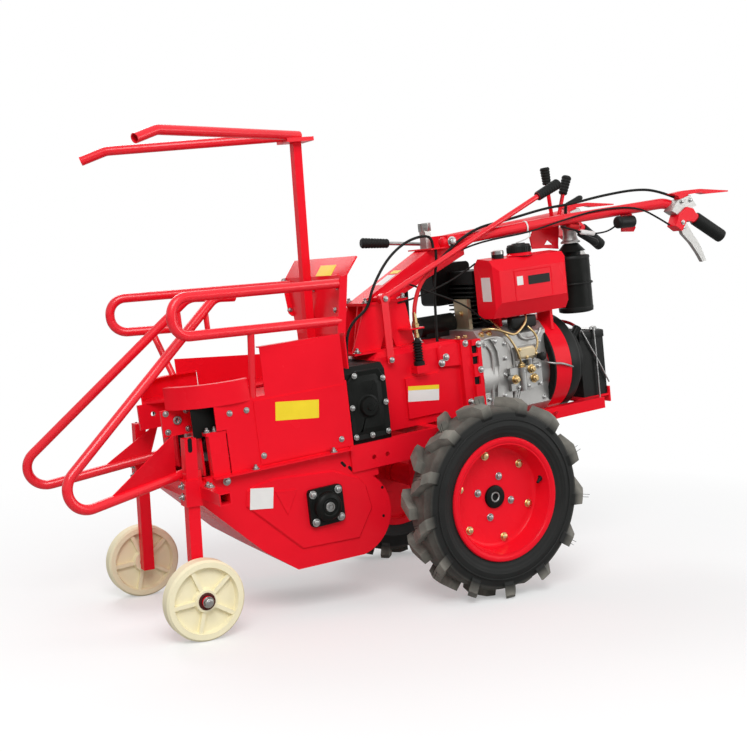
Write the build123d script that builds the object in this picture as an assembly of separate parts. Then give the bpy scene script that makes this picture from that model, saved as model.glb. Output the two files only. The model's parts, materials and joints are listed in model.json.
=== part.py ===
from build123d import *
from math import cos, sin, radians, pi
import os

# Mini crop harvester: a one-row maize header carried in front of a walking tractor.
# Lengths in mm. The machine is drawn level with its origin at the middle of the drive axle,
# +X forward, +Y to the left, +Z up, and is then set nose-down onto the floor as it stands.

# Stance on the floor
PITCH = 6.76
TYRE_R = 278.0
DATUM_X = 128.38
GAP = 0.3

# Drive wheels
WHEEL_Y = 287.0
TYRE_HALF = 57.0
LUG_DEPTH = 26.0
BEAD_R = 155.0
FLANGE_R = 170.0
RIM_HALF = 50.0
RIM_T = 4.0
DISC_IN = 22.0
DISC_T = 6.0
LUGS = 13
LUG_W = 30.0
LUG_SWEEP = 25.0
HUB_R = 34.0
STUB_R = 15.0
AXLE_CASE_R = 32.0

# Front casters and their legs
CASTER_R = 100.0
CASTER_W = 42.0
CASTER_X = 852.0
CASTER_Y = 240.0
CASTER_RIBS = 5
PIN_R = 9.0
LEG = 30.0
LEG_Y = 196.0
LEG_TOP = (822.0, 313.0)
LEG_FOOT_Z = -95.0
COLLAR = 42.0
COLLAR_Z = (147.0, 211.0)

# Header frame
RAIL = 30.0
RAIL_OUT = 185.0
RAIL_TOP = 201.0
RAIL_REAR = 71.0
BEAM_X = (786.0, 816.0)
BEAM_Z = (163.0, 193.0)
BEAM_STUB = 342.0
WALL = 3.0
LEDGE = 22.0
RAIL_HOLE_R = 6.5
RAIL_HOLES = (269.0, 311.0)
RAIL_HOLE_Z = 163.0
SIDE_PLATE_X = 380.0
SIDE_PLATE_LOW = 134.0
SIDE_PLATE_T = 6.0

# Decks over the rolls
DECK_Z = 375.0
DECK_T = 6.0
DECK_REAR = 366.0
SLOT = 28.0
NOSE = ((836.0, 95.0), (790.0, 158.0), (643.0, 185.0))
RING_T = 5.0
RING_TOP = 432.0
PANEL_TOP = 505.0
PANEL_X = (366.0, 716.0)
COVER_X = (374.0, 636.0)
UPPER_X = (370.0, 601.0)

# Snapping rolls
ROLL_Y = 78.0
ROLL_Z = 290.0
ROLL_CORE = 45.0
ROLL_TIP = 68.0
ROLL_X = (380.0, 764.0)
ROLL_BLADES = 6
ROLL_SHAFT = 15.0
END_PLATE_X = 770.0
END_PLATE_T = 6.0

# Chopper under the rolls
ROTOR_X = 473.0
ROTOR_Z = 66.0
ROTOR_DRUM = 55.0
ROTOR_TIP = 118.0
ROTOR_SHAFT = 20.0
CASE_FRONT = 808.0
COVER_T = 2.5
PRESSING = 5.0
DIVIDER_TIP = 1246.0
DIVIDER_BEND = 50.0
CASE_ARC = ((370.0, -94.0), (274.0, 20.0), (318.0, 112.0))

# Rear plate, post and stalk fork
POST = 24.0
POST_FOOT = (370.0, 440.0)
POST_HEAD = (340.0, 1026.0)
FORK_R = 12.5
FORK_TIP = 866.0
HOOP_R = 12.5
HOOP_BEND = 46.0
TUBE_WALL = 2.5

# Gear case and gearbox
GEAR_CASE_X = (240.0, 366.0)
GEAR_CASE_Y = 172.0
GEAR_CASE_TOP = 410.0
BOX_Y = 86.0
BOX_TOP = 425.0
BELL_X = -122.0
DRIVE_Y = 45.0
DRIVE_R = 72.0

# Engine
ENGINE_X = (-364.0, -122.0)
ENGINE_Y = 110.0
ENGINE_Z = (170.0, 440.0)
COVER_ARCH = 8.0
CRANK_Z = 300.0
SHROUD_R = 150.0
SHROUD_X = -461.0
RECOIL_SLOTS = 16
FRAME_Z = (135.0, 170.0)
FRAME_Y = (80.0, 110.0)
CYL_X = (-330.0, -165.0)
CYL_Y = (-95.0, 38.0)
FIN_T = 4.0
CLEANER_X = -533.0
CLEANER_R = 53.0
FIN_PITCH = 13.0
FINS = 9

# Handlebars
BAR_R = 16.0
BAR_BEND = 70.0
BAR = ((-70.0, 45.0, 16.0), (-469.0, 100.0, 42.0), (-771.0, 235.0, 58.0),
       (-844.0, 262.0, 13.0), (-946.0, 278.0, -59.0))
GRIP_R = 20.0
GRIP_LEN = 105.0
CABLE_R = 4.0
CABLE_BEND = 60.0
YOKE_Z = 690.0
STAND_TOP = 565.0
PIVOT = (172.0, 573.0)


def block(x0, x1, y0, y1, z0, z1):
    """Square block between two corners."""
    place = Pos((x0 + x1) / 2, (y0 + y1) / 2, (z0 + z1) / 2)
    return place * Box(abs(x1 - x0), abs(y1 - y0), abs(z1 - z0))


def rod(start, end, radius):
    """Round bar between two points."""
    axis = Vector(*end) - Vector(*start)
    return extrude(Plane(origin=start, z_dir=axis) * Circle(radius), amount=axis.length)


def bar(start, end, wide, deep, x_dir=(0, 1, 0)):
    """Square bar between two points, wide along x_dir."""
    axis = Vector(*end) - Vector(*start)
    return extrude(Plane(origin=start, x_dir=x_dir, z_dir=axis) * Rectangle(wide, deep), amount=axis.length)


def tube(points, bend, radius, wall):
    """Bent round tube through corner points."""
    path = FilletPolyline(*points, radius=bend) if len(points) > 2 else Line(*points)
    ring = Circle(radius) - Circle(radius - wall) if wall else Circle(radius)
    return sweep(Plane(origin=path @ 0, z_dir=path % 0) * ring, path=path)


def side_plate(face, y0, y1):
    """Flat face drawn in X and Z, given thickness from y0 to y1."""
    return extrude(Plane.XZ.offset(-y1) * face, amount=y1 - y0)


def outline(points):
    """Face inside straight lines through points."""
    return make_face(Polyline(*points, close=True))


def about_y(face, x=0.0, y=0.0, z=0.0):
    """Turned shape: face drawn as radius and width, spun about the Y axis."""
    return Pos(x, y, z) * revolve(Plane(origin=(0, 0, 0), x_dir=(1, 0, 0), z_dir=(0, 0, 1)) * face, Axis.Y)


def about_x(radius, x0, x1, y, z):
    """Round drum along X."""
    return rod((x0, y, z), (x1, y, z), radius)


def flip(shape):
    """Same piece on the right-hand side."""
    return mirror(shape, about=Plane.XZ)


def both(shape):
    """Piece and its mirror image."""
    return shape + flip(shape)


nodes = {}

# Tyres: hollow casing on the rim, with slanted bars that lead at the middle
crown_r = TYRE_R - LUG_DEPTH
mid_r = (BEAD_R + crown_r) / 2
seat = RIM_HALF - RIM_T
skin = [(BEAD_R, seat), (FLANGE_R + 2, seat), (mid_r, TYRE_HALF), (crown_r - 9, TYRE_HALF - 7),
        (crown_r, TYRE_HALF - 27)]
lining = [(crown_r - 10, TYRE_HALF - 31), (crown_r - 16, TYRE_HALF - 17), (mid_r, TYRE_HALF - 11),
          (FLANGE_R + 6, seat - 10), (BEAD_R, seat - 13)]
casing = outline([(r, -w) for r, w in skin] + [(r, w) for r, w in skin[::-1]]
                 + [(r, w) for r, w in lining[::-1]] + [(r, -w) for r, w in lining])
reach = outline([(crown_r - 5, 3), (TYRE_R, 3), (TYRE_R, TYRE_HALF - 15), (TYRE_R - 12, TYRE_HALF),
                 (crown_r - 16, TYRE_HALF), (crown_r - 26, TYRE_HALF - 6), (crown_r - 12, TYRE_HALF - 13)])
lug_form = outline([(LUG_SWEEP + LUG_W / 2, 0), (LUG_SWEEP - LUG_W / 2, 0),
                    (-LUG_SWEEP - LUG_W / 2, TYRE_HALF + 4), (-LUG_SWEEP + LUG_W / 2, TYRE_HALF + 4)])
lug = about_y(reach) & extrude(Plane.XY.offset(crown_r - 52) * lug_form, amount=100)
step = 360.0 / LUGS
left_lugs = [Rot(0, 180 + i * step, 0) * lug for i in range(LUGS)]
right_lugs = [Rot(0, 180 + (i + 0.5) * step, 0) * flip(lug) for i in range(LUGS)]
tyre = Pos(0, WHEEL_Y, 0) * (about_y(casing) + left_lugs + right_lugs)

# Rims: barrel with turned-out flanges and a dished disc near the middle
disc_y = WHEEL_Y - DISC_IN
rim_face = outline([(BEAD_R - RIM_T, -RIM_HALF), (FLANGE_R, -RIM_HALF), (FLANGE_R, -seat), (BEAD_R, -seat),
                    (BEAD_R, seat), (FLANGE_R, seat), (FLANGE_R, RIM_HALF), (BEAD_R - RIM_T, RIM_HALF),
                    (BEAD_R - RIM_T - 14, 14 - DISC_IN), (BEAD_R - 17, DISC_T - DISC_IN),
                    (HUB_R, DISC_T - DISC_IN),
                    (HUB_R, -DISC_IN), (BEAD_R - RIM_T, -DISC_IN)])
rim = about_y(rim_face, y=WHEEL_Y)
rim_bolts = [rod((118 * cos(radians(a)), disc_y + DISC_T, 118 * sin(radians(a))),
                 (118 * cos(radians(a)), disc_y + DISC_T + 9, 118 * sin(radians(a))), 9)
             for a in range(20, 380, 60)]
rim = rim + rim_bolts

# Hubs: flange behind the disc, boss through it and a stub shaft inside the axle case
hub_face = outline([(0, disc_y - 120), (STUB_R, disc_y - 120), (STUB_R, disc_y - 32), (HUB_R, disc_y - 32),
                    (HUB_R, disc_y - 8), (66, disc_y - 8), (66, disc_y), (HUB_R, disc_y),
                    (HUB_R, disc_y + 12), (12, disc_y + 12), (12, disc_y + 2), (0, disc_y + 2)])
hub = about_y(hub_face)
axle_case = (rod((0, DRIVE_Y, 0), (0, disc_y - 38, 0), AXLE_CASE_R)
             - rod((0, DRIVE_Y + 60, 0), (0, disc_y, 0), STUB_R + GAP)
             + rod((0, DRIVE_Y, 0), (0, DRIVE_Y + 12, 0), 60))

# Casters and legs
lean = radians(PITCH)
caster_z = (CASTER_R - TYRE_R + sin(lean) * CASTER_X) / cos(lean)
half = CASTER_W / 2
caster_face = outline([(PIN_R + GAP, -half), (27, -half), (31, -7), (78, -7), (82, -half),
        (CASTER_R - 5, -half),
                       (CASTER_R, -half + 6), (CASTER_R, half - 6), (CASTER_R - 5, half), (82, half), (78, 7),
                       (31, 7), (27, half), (PIN_R + GAP, half)])
caster = about_y(caster_face)
for i in range(CASTER_RIBS):
    caster = caster + Rot(0, i * 360 / CASTER_RIBS, 0) * block(24, 84, half - 16, half - 4, -5, 5)
    caster = caster + Rot(0, i * 360 / CASTER_RIBS, 0) * block(24, 84, 4 - half, 16 - half, -5, 5)
caster = Pos(CASTER_X, CASTER_Y, caster_z) * caster
rake = (CASTER_X - LEG_TOP[0]) / (LEG_TOP[1] - caster_z)


def leg_at(z):
    """Middle of the left leg at height z."""
    return (LEG_TOP[0] + rake * (LEG_TOP[1] - z), LEG_Y, z)


beam = block(*BEAM_X, -LEG_Y - LEG / 2, BEAM_STUB, *BEAM_Z)
beam = beam - block(BEAM_X[0] + 3, BEAM_X[1] - 3, LEG_Y + 30, BEAM_STUB + 1, BEAM_Z[0] + 3, BEAM_Z[1] - 3)
leg = bar(leg_at(LEG_FOOT_Z), leg_at(LEG_TOP[1]), LEG, LEG)
leg = leg + (bar(leg_at(COLLAR_Z[0]), leg_at(COLLAR_Z[1]), COLLAR, COLLAR) - beam)
leg = leg + rod((CASTER_X, LEG_Y, caster_z), (CASTER_X, CASTER_Y + half + 9, caster_z), PIN_R)
leg = leg + rod((CASTER_X, LEG_Y, caster_z), (CASTER_X, CASTER_Y - half - 1, caster_z), 14)
leg = leg + rod((CASTER_X, CASTER_Y + half + 1, caster_z), (CASTER_X, CASTER_Y + half + 9, caster_z), 14)

# Header frame: two rails with a ledge and a drilled side plate on each, and a cross tube at the rear
rail_in = RAIL_OUT - RAIL
plate_out = RAIL_OUT + SIDE_PLATE_T
rail = block(RAIL_REAR, BEAM_X[0], rail_in, RAIL_OUT, RAIL_TOP - RAIL, RAIL_TOP)
rail = rail + block(SIDE_PLATE_X, 770, RAIL_OUT, RAIL_OUT + LEDGE, RAIL_TOP - 4, RAIL_TOP)
rail = rail + block(RAIL_REAR, SIDE_PLATE_X, RAIL_OUT, plate_out, SIDE_PLATE_LOW, RAIL_TOP + 4)
for hole_x in RAIL_HOLES:
    rail = rail - rod((hole_x, RAIL_OUT - 1, RAIL_HOLE_Z), (hole_x, plate_out + 1, RAIL_HOLE_Z), RAIL_HOLE_R)
cross_tube = block(RAIL_REAR, RAIL_REAR + RAIL, -rail_in, rail_in, RAIL_TOP - RAIL, RAIL_TOP)

# Lower side panels with a raised cover, and the upper panels, lower and longer on the right
panel = side_plate(outline([(PANEL_X[0], RAIL_TOP), (PANEL_X[1], RAIL_TOP), (PANEL_X[1], 313), (742, 313),
        (742, DECK_Z),
                            (PANEL_X[0], DECK_Z)]), RAIL_OUT - WALL, RAIL_OUT)
panel = panel + block(*COVER_X, RAIL_OUT, RAIL_OUT + COVER_T, RAIL_TOP + 6, DECK_Z - 4)
deck_top = DECK_Z + DECK_T
upper = block(*UPPER_X, RAIL_OUT - WALL, RAIL_OUT, deck_top, PANEL_TOP)
upper = upper + block(*UPPER_X, RAIL_OUT - 22, RAIL_OUT - WALL, PANEL_TOP - WALL, PANEL_TOP)
far_face = outline([(UPPER_X[0], deck_top), (640, deck_top), (640, RING_TOP), (700, RING_TOP), (700, 473),
        (UPPER_X[0], 441)])
far_upper = side_plate(far_face, -RAIL_OUT, WALL - RAIL_OUT)

# Decks with a rounded nose and a standing ring
deck_edge = [Line((DECK_REAR, SLOT), (740, SLOT)), Line((740, SLOT), NOSE[0]), ThreePointArc(*NOSE),
             Line(NOSE[2], (DECK_REAR, RAIL_OUT)), Line((DECK_REAR, RAIL_OUT), (DECK_REAR, SLOT))]
deck = extrude(Plane.XY.offset(DECK_Z) * make_face(deck_edge), amount=DECK_T)
ring_in = ((NOSE[0][0] - RING_T, NOSE[0][1]), (NOSE[1][0] - 4, NOSE[1][1] - 4), (NOSE[2][0],
        NOSE[2][1] - RING_T))
ring_edge = [ThreePointArc(*NOSE), Line(NOSE[2], ring_in[2]), ThreePointArc(*ring_in), Line(ring_in[0],
        NOSE[0])]
ring = extrude(Plane.XY.offset(deck_top) * make_face(ring_edge), amount=RING_TOP - deck_top)
lip_in = ((NOSE[0][0] - 19, NOSE[0][1]), (NOSE[1][0] - 14, NOSE[1][1] - 14), (NOSE[2][0], NOSE[2][1] - 19))
lip_edge = [ThreePointArc(*NOSE), Line(NOSE[2], lip_in[2]), ThreePointArc(*lip_in), Line(lip_in[0], NOSE[0])]
ring = ring + extrude(Plane.XY.offset(RING_TOP - WALL) * make_face(lip_edge), amount=WALL)

# End plates that carry the front of the rolls, with bearing blocks, shields and brackets
end_plate = block(END_PLATE_X, END_PLATE_X + END_PLATE_T, SLOT + 6, 145, RAIL_TOP, DECK_Z)
end_plate = end_plate - rod((END_PLATE_X - 1, ROLL_Y, ROLL_Z), (800, ROLL_Y, ROLL_Z), ROLL_SHAFT + GAP)
front_block = block(END_PLATE_X + END_PLATE_T, 850, 88, 98, 308, DECK_Z)
front_block = front_block - rod((810, 80, 346), (810, 110, 346), 7)
shield = block(722, 792, 149, 153, 299, DECK_Z)
bracket = block(718, 764, 158, RAIL_OUT - WALL, RAIL_TOP, 304)
bracket = bracket + block(710, 770, 153.5, RAIL_OUT - WALL, 304, 312)

# Snapping rolls: core with straight blades, a shaft at each end
roll = about_x(ROLL_CORE, *ROLL_X, 0, 0)
for i in range(ROLL_BLADES):
    roll = roll + Rot(i * 360 / ROLL_BLADES, 0, 0) * block(*ROLL_X, ROLL_CORE - 6, ROLL_TIP, -4, 4)
roll = roll + about_x(ROLL_SHAFT, GEAR_CASE_X[1] - 40, 786, 0, 0)
left_roll = Pos(0, ROLL_Y, ROLL_Z) * roll
right_roll = Pos(0, -ROLL_Y, ROLL_Z) * Rot(180 / ROLL_BLADES, 0, 0) * roll

# Header gear case behind the rolls
gear_case = block(*GEAR_CASE_X, -GEAR_CASE_Y, GEAR_CASE_Y, RAIL_TOP, GEAR_CASE_TOP)
gear_case = chamfer(gear_case.edges().filter_by(Axis.X).group_by(Axis.Z)[-1], 18)
socket = rod((GEAR_CASE_X[1] - 45, ROLL_Y, ROLL_Z), (GEAR_CASE_X[1] + 1, ROLL_Y, ROLL_Z), ROLL_SHAFT + GAP)
gear_case = gear_case - both(socket)

# Chopper case: two walls, a sloped front sheet and a rounded rear sheet
rail_low = RAIL_TOP - RAIL
wall_edge = [Polyline((300, 112), (300, rail_low), (BEAM_X[0], rail_low), (BEAM_X[0], BEAM_Z[0]),
                      (CASE_FRONT, BEAM_Z[0]), (CASE_FRONT, 142), (656, -18), (568, -87), CASE_ARC[0]),
             ThreePointArc(*CASE_ARC), Line(CASE_ARC[2], (300, 112))]
wall = side_plate(make_face(wall_edge), RAIL_OUT - WALL, RAIL_OUT)
shaft_hole = rod((ROTOR_X, 0, ROTOR_Z), (ROTOR_X, 260, ROTOR_Z), ROTOR_SHAFT + 2)
pressed = outline([(692, 109), (550, -36), (381, -46), (332, 28), (344, 92), (363, 118), (438, 152), (604, 166),
                   (660, 160), (685, 150)])
raised = side_plate(pressed, RAIL_OUT, RAIL_OUT + PRESSING)
raised = chamfer(raised.faces().sort_by(Axis.Y)[-1].edges(), PRESSING - 1)
wall = wall + raised - shaft_hole
for hole_x in RAIL_HOLES:
    wall = wall - rod((hole_x, RAIL_OUT - WALL - 1, RAIL_HOLE_Z), (hole_x, RAIL_OUT + 1, RAIL_HOLE_Z),
            RAIL_HOLE_R + 2)
inside = RAIL_OUT - WALL
sheet_edge = [(CASE_FRONT, BEAM_Z[0]), (CASE_FRONT, 142), (656, -18), (568, -87), (571, -83), (654, -13),
              (CASE_FRONT - 4, 145), (CASE_FRONT - 4, BEAM_Z[0])]
front_sheet = side_plate(outline(sheet_edge), -inside, inside)
arc_in = ((CASE_ARC[0][0], -91), (277, 20), (320, 110))
rear_edge = [ThreePointArc(*CASE_ARC), Line(CASE_ARC[2], arc_in[2]), ThreePointArc(*arc_in), Line(arc_in[0],
        CASE_ARC[0])]
rear_sheet = side_plate(make_face(rear_edge), -inside, inside)

# Chopper rotor and its flange bearings
rotor = rod((ROTOR_X, -RAIL_OUT - 33, ROTOR_Z), (ROTOR_X, RAIL_OUT + 33, ROTOR_Z), ROTOR_SHAFT)
rotor = rotor + rod((ROTOR_X, -160, ROTOR_Z), (ROTOR_X, 160, ROTOR_Z), ROTOR_DRUM)
for row, y in enumerate((-135, -90, -45, 0, 45, 90, 135)):
    for turn in (0, 180):
        knife = block(ROTOR_DRUM - 6, ROTOR_TIP, y - 5, y + 5, -20, 20)
        rotor = rotor + Pos(ROTOR_X, 0, ROTOR_Z) * Rot(0, turn + row * 90, 0) * knife
seat_y = RAIL_OUT + PRESSING
bearing = block(ROTOR_X - 50, ROTOR_X + 50, seat_y, seat_y + 12, ROTOR_Z - 50, ROTOR_Z + 50)
bearing = fillet(bearing.edges().filter_by(Axis.Y), 12)
bearing = bearing + rod((ROTOR_X, seat_y + 12, ROTOR_Z), (ROTOR_X, seat_y + 26, ROTOR_Z), 38)
bearing = bearing - rod((ROTOR_X, 0, ROTOR_Z), (ROTOR_X, 260, ROTOR_Z), ROTOR_SHAFT + GAP)

# Dividers: one bent tube each, ending in a foot on the rail
divider_path = [(612, 88, 634), (668, 97, 639), (DIVIDER_TIP, 236, 175), (796, 148, 224)]
divider = tube(divider_path, DIVIDER_BEND, HOOP_R, 0)
divider = divider + block(BEAM_X[0] + 2, BEAM_X[1] - 2, 136, 160, BEAM_Z[1], 222)
divider = divider + rod((700, 103, 540), (700, 103, 612), 7)

# Guide plates that stand on the lower runs and flare outwards, the right one further back
guide = extrude(make_face(Polyline((1040, 194, 199), (852, 158, 218), (864, 214, 330), close=True)), amount=3)
far_guide = extrude(make_face(Polyline((954, -178, 207), (816, -151, 222), (782, -138, 316), close=True)),
                    amount=3)
guides = guide - divider + (far_guide - flip(divider) - flip(end_plate))

# Rear wall, leaning plate with a flared top, and the post
lean_low = (352.0, 500.0)
lean_top = (326.0, 655.0)
plate = block(352, 356, -inside, inside, GEAR_CASE_TOP, 500)
leaning = outline([lean_low, (356, 500), (330, 655), (294, 702), (290, 699), lean_top])
plate = plate + side_plate(leaning, -190, RAIL_OUT)
far_corner = outline([(-191, 655), (-100, 500), (-100, 445), (-191, 445)])
plate = plate - extrude(Plane.YZ.offset(280) * far_corner, amount=100)
plate = plate + side_plate(outline([(353, 506), (328, 655), (348, 655), (374, 506)]), RAIL_OUT - 4, RAIL_OUT)
plate = plate + bar((POST_FOOT[0], 0, POST_FOOT[1]), (POST_HEAD[0], 0, POST_HEAD[1]), POST, POST)
plate = plate + block(354, 364, -POST / 2, POST / 2, GEAR_CASE_TOP + 30, 500)

# Stalk fork on the post
fork_z = POST_HEAD[1] + 14
arm = tube([(330, 4, fork_z), (FORK_TIP - 64, 210, fork_z + 12), (FORK_TIP, 236, fork_z - 8)],
        40, FORK_R, TUBE_WALL)
fork = arm + flip(arm) + block(300, 380, -34, 34, POST_HEAD[1] - 4, POST_HEAD[1] + 7)
plate = plate - fork

# Hoops over the header
behind = side_plate(outline([(356, 480), (330, 655), (240, 655), (240, 480)]), -200, 200)
left_path = [(330, 168, 635), (842, 252, 657), (842, 252, 564), (330, 168, 537)]
right_path = [(330, -164, 635), (842, -252, 657), (842, -252, 564), (690, -209, 556)]
left_hoop = tube(left_path, HOOP_BEND - 2, HOOP_R, 0) - behind
right_hoop = tube(right_path, HOOP_BEND - 2, HOOP_R, 0) - behind
left_hoop = left_hoop + rod((632, 176, deck_top - 2), (632, 218, 552), 9) - deck - ring - plate
right_hoop = right_hoop + rod((715, -168, RING_TOP - 2), (740, -222, 556), 9) - flip(ring) - flip(deck)
right_hoop = right_hoop - plate

# Gearbox with bell housing and final drive down to the axle
gearbox = side_plate(outline([(240, RAIL_TOP), (240, 396), (200, BOX_TOP), (-60, BOX_TOP),
        (-60, RAIL_TOP)]), -BOX_Y, BOX_Y)
gearbox = chamfer(gearbox.edges().filter_by(Axis.X).group_by(Axis.Z)[-1], 14)
gearbox = gearbox + side_plate(outline([(-60, RAIL_TOP), (-60, BOX_TOP), (BELL_X, 413), (BELL_X, 205)]),
        -105, 105)
flange = block(BELL_X, BELL_X + 30, 100, 116, 190, 420)
for z in (391, 359, 299):
    flange = flange - block(BELL_X + 12, BELL_X + 30, 110, 117, z - 12, z + 12)
gearbox = gearbox + both(flange)
gearbox = gearbox + block(-65, 68, -DRIVE_Y, DRIVE_Y, 0, RAIL_TOP)
gearbox = gearbox + rod((0, -DRIVE_Y, 0), (0, DRIVE_Y, 0), DRIVE_R)
gearbox = gearbox + block(66, 104, BOX_Y, 120, 352, 373)
gearbox = gearbox + block(15, 130, BOX_Y, 94, 225, 340)

# Clutch rod with its boot on the gearbox shelf
boot = rod((85, 104, 373), (85, 104, 386), 15)
for i in range(7):
    boot = boot + rod((85, 104, 384 + i * 9), (85, 104, 390 + i * 9), 12)
    boot = boot + rod((85, 104, 388 + i * 9), (85, 104, 395 + i * 9), 9)
boot = boot + rod((85, 104, 440), (85, 104, 496), 5)

# Engine frame with battery tray
engine_frame = block(-575, -71, *FRAME_Y, *FRAME_Z)
engine_frame = engine_frame + block(-384, -371, FRAME_Y[1], FRAME_Y[1] + 10, FRAME_Z[0] + 2, FRAME_Z[1] - 12)
engine_frame = both(engine_frame) + block(-71, -65, -112, 112, 110, RAIL_TOP)
engine_frame = engine_frame + block(-636, -500, -120, 70, FRAME_Z[1] - 6, FRAME_Z[1])
engine_frame = engine_frame + block(-636, -630, -120, 70, FRAME_Z[0] + 8, FRAME_Z[1] + 22)
battery = block(-630, -534, -110, 62, FRAME_Z[1], 368)

# Engine: case, finned cylinder, flywheel shroud, recoil starter
engine_case = block(*ENGINE_X, -ENGINE_Y, ENGINE_Y, *ENGINE_Z)
engine_case = chamfer(engine_case.edges().filter_by(Axis.X), 26)
engine_case = engine_case + about_x(84, ENGINE_X[0], ENGINE_X[1], 34, CRANK_Z - 8)
arch = outline([(-156, 412), (-164, 402), (-177, 373), (-180, 331), (-166, 262), (-164, 200), (-214, 200),
        (-226, 328),
                (-224, 376), (-211, 405), (-196, 412)])
engine_case = engine_case + side_plate(arch, ENGINE_Y - 2, ENGINE_Y + COVER_ARCH)
engine_case = engine_case + side_plate(outline([(-236, 376), (-316, 376), (-316, 336), (-236, 336)]),
        ENGINE_Y - 2, ENGINE_Y + 20)
cyl_mid = ((CYL_X[0] + CYL_X[1]) / 2, (CYL_Y[0] + CYL_Y[1]) / 2)
cylinder = rod((*cyl_mid, ENGINE_Z[1]), (*cyl_mid, 600), 52)
for i in range(FINS):
    z = ENGINE_Z[1] + 16 + i * FIN_PITCH
    cylinder = cylinder + block(*CYL_X, *CYL_Y, z, z + FIN_T)
cylinder = cylinder + block(CYL_X[0] + 8, CYL_X[1] - 8, CYL_Y[0], CYL_Y[1] - 6, 572, 612)
shroud = about_x(SHROUD_R, SHROUD_X, ENGINE_X[0], 0, CRANK_Z)
shroud = fillet(shroud.edges().group_by(Axis.X)[0], 16)
recoil = about_x(112, SHROUD_X - 34, SHROUD_X, 0, CRANK_Z)
recoil = recoil + about_x(60, SHROUD_X - 48, SHROUD_X - 34, 0, CRANK_Z)
for i in range(RECOIL_SLOTS):
    slot = Pos(0, 0, CRANK_Z) * Rot(i * 360 / RECOIL_SLOTS, 0, 0) * block(SHROUD_X - 40, SHROUD_X - 22, 68,
            102, -6, 6)
    recoil = recoil - slot
recoil = recoil + rod((SHROUD_X - 34, 62, 352), (-531, 62, 396), 13)

# Tank on its bracket, cap, air cleaner with intake pipe, muffler, starter, regulator, pump
tank_bracket = block(-400, -390, 46, 110, ENGINE_Z[1] - 30, 470) + block(-232, -222, 46, 80, ENGINE_Z[1], 470)
tank_bracket = tank_bracket + block(-400, -222, 46, 110, 466, 470) - engine_case - shroud
tank_face = outline([(58, 470), (125, 470), (155, 515), (155, 608), (128, 640), (72, 646), (50, 625),
        (50, 490)])
tank = extrude(Plane(origin=(-440, 0, 0), x_dir=(0, 1, 0), z_dir=(1, 0, 0)) * tank_face, amount=270)
tank_side = tank.faces().sort_by(Axis.Y)[-1]
tank = chamfer(tank_side.edges().filter_by(Axis.X, reverse=True), 14)
cap = rod((-303, 100, 640), (-303, 100, 672), 33) - tank
gauge = rod((-224, 100, 638), (-224, 100, 662), 18) - tank
cleaner = rod((CLEANER_X, 62, 446), (CLEANER_X, 62, 616), CLEANER_R)
cleaner = cleaner + rod((CLEANER_X, 62, 530), (CLEANER_X, 62, 537), CLEANER_R + 3)
cleaner = cleaner + rod((CLEANER_X, 62, 616), (CLEANER_X, 62, 632), 28)
cleaner = cleaner + Pos(CLEANER_X, 62, 644) * Cone(44, 23, 24)
cleaner = cleaner + rod((CLEANER_X, 62, 656), (CLEANER_X, 62, YOKE_Z + 34), 20)
intake = rod((CLEANER_X + 26, 14, 545), (CYL_X[0], 14, 545), 16) - cleaner
cleaner = cleaner + intake
muffler = block(-255, -115, -172, CYL_Y[0], 513, 640)
muffler = fillet(muffler.edges().filter_by(Axis.Y), 14)
starter = about_x(31, -148, -24, -66, 460) + block(-140, -40, -90, -42, BOX_TOP, 450) - gearbox - engine_case
regulator = block(CYL_X[1], CYL_X[1] + 12, -50, 22, ENGINE_Z[1], 530)
pump = block(-322, -206, ENGINE_Y, 132, 250, 318) + rod((-250, 132, 246), (-250, 132, 316), 12)
pump = pump + rod((-287, 122, 318), (-287, 122, 336), 10)
pump = pump + rod((-213, 126, 286), (-213, 146, 286), 14) - engine_case

# Column stand, neck, yoke and nut
stand_low = BOX_TOP + 6
stand = block(40, 270, -70, 70, BOX_TOP, stand_low) + block(72, 215, -56, 56, STAND_TOP - 8, STAND_TOP)
stand_face = outline([(80, STAND_TOP - 8), (60, stand_low), (124, stand_low), (146, 500), (176, stand_low),
        (266, stand_low),
                      (212, STAND_TOP - 8)])
stand = stand + both(side_plate(stand_face, 46, 52))
stand = stand + side_plate(outline([(96, STAND_TOP - 8), (96, stand_low), (236, stand_low),
        (206, STAND_TOP - 8)]), -3, 3)
neck_face = outline([(215, STAND_TOP), (-28, YOKE_Z), (-150, YOKE_Z), (-150, YOKE_Z - 26), (98, STAND_TOP)])
neck = side_plate(neck_face, -38, 38) + rod((PIVOT[0], 38, PIVOT[1]), (PIVOT[0], 104, PIVOT[1]), 8)
bars = [(x, y, YOKE_Z + z) for x, y, z in BAR]
handlebar = tube(bars, BAR_BEND, BAR_R, TUBE_WALL)
bar_core = tube(bars, BAR_BEND, BAR_R, 0)
yoke = block(-150, -20, -64, 64, YOKE_Z, YOKE_Z + 4) + both(block(-142, -78, 26, 66, YOKE_Z + 4, YOKE_Z + 36))
yoke = yoke - rod(bars[0], bars[1], BAR_R) - flip(rod(bars[0], bars[1], BAR_R))
nut = extrude(Plane.XY.offset(YOKE_Z + 4) * RegularPolygon(19, 6), amount=50)
nut = nut + rod((0, 0, YOKE_Z + 54), (0, 0, YOKE_Z + 78), 13)
nut = Pos(-45, 0, 0) * nut

# Grips, hand levers and the lever gate
grip_dir = (Vector(*bars[4]) - Vector(*bars[3])).normalized()
bar_end = Vector(*bars[4])
grip = rod(tuple(bar_end - grip_dir * GRIP_LEN), tuple(bar_end + grip_dir * 8), GRIP_R)
grip = grip - rod(tuple(bar_end - grip_dir * (GRIP_LEN + 1)), tuple(bar_end), BAR_R)


def lever_plate(points, y0, y1):
    """Flat lever piece, its heights measured from the yoke."""
    return side_plate(outline([(x, YOKE_Z + z) for x, z in points]), y0, y1)


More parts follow.
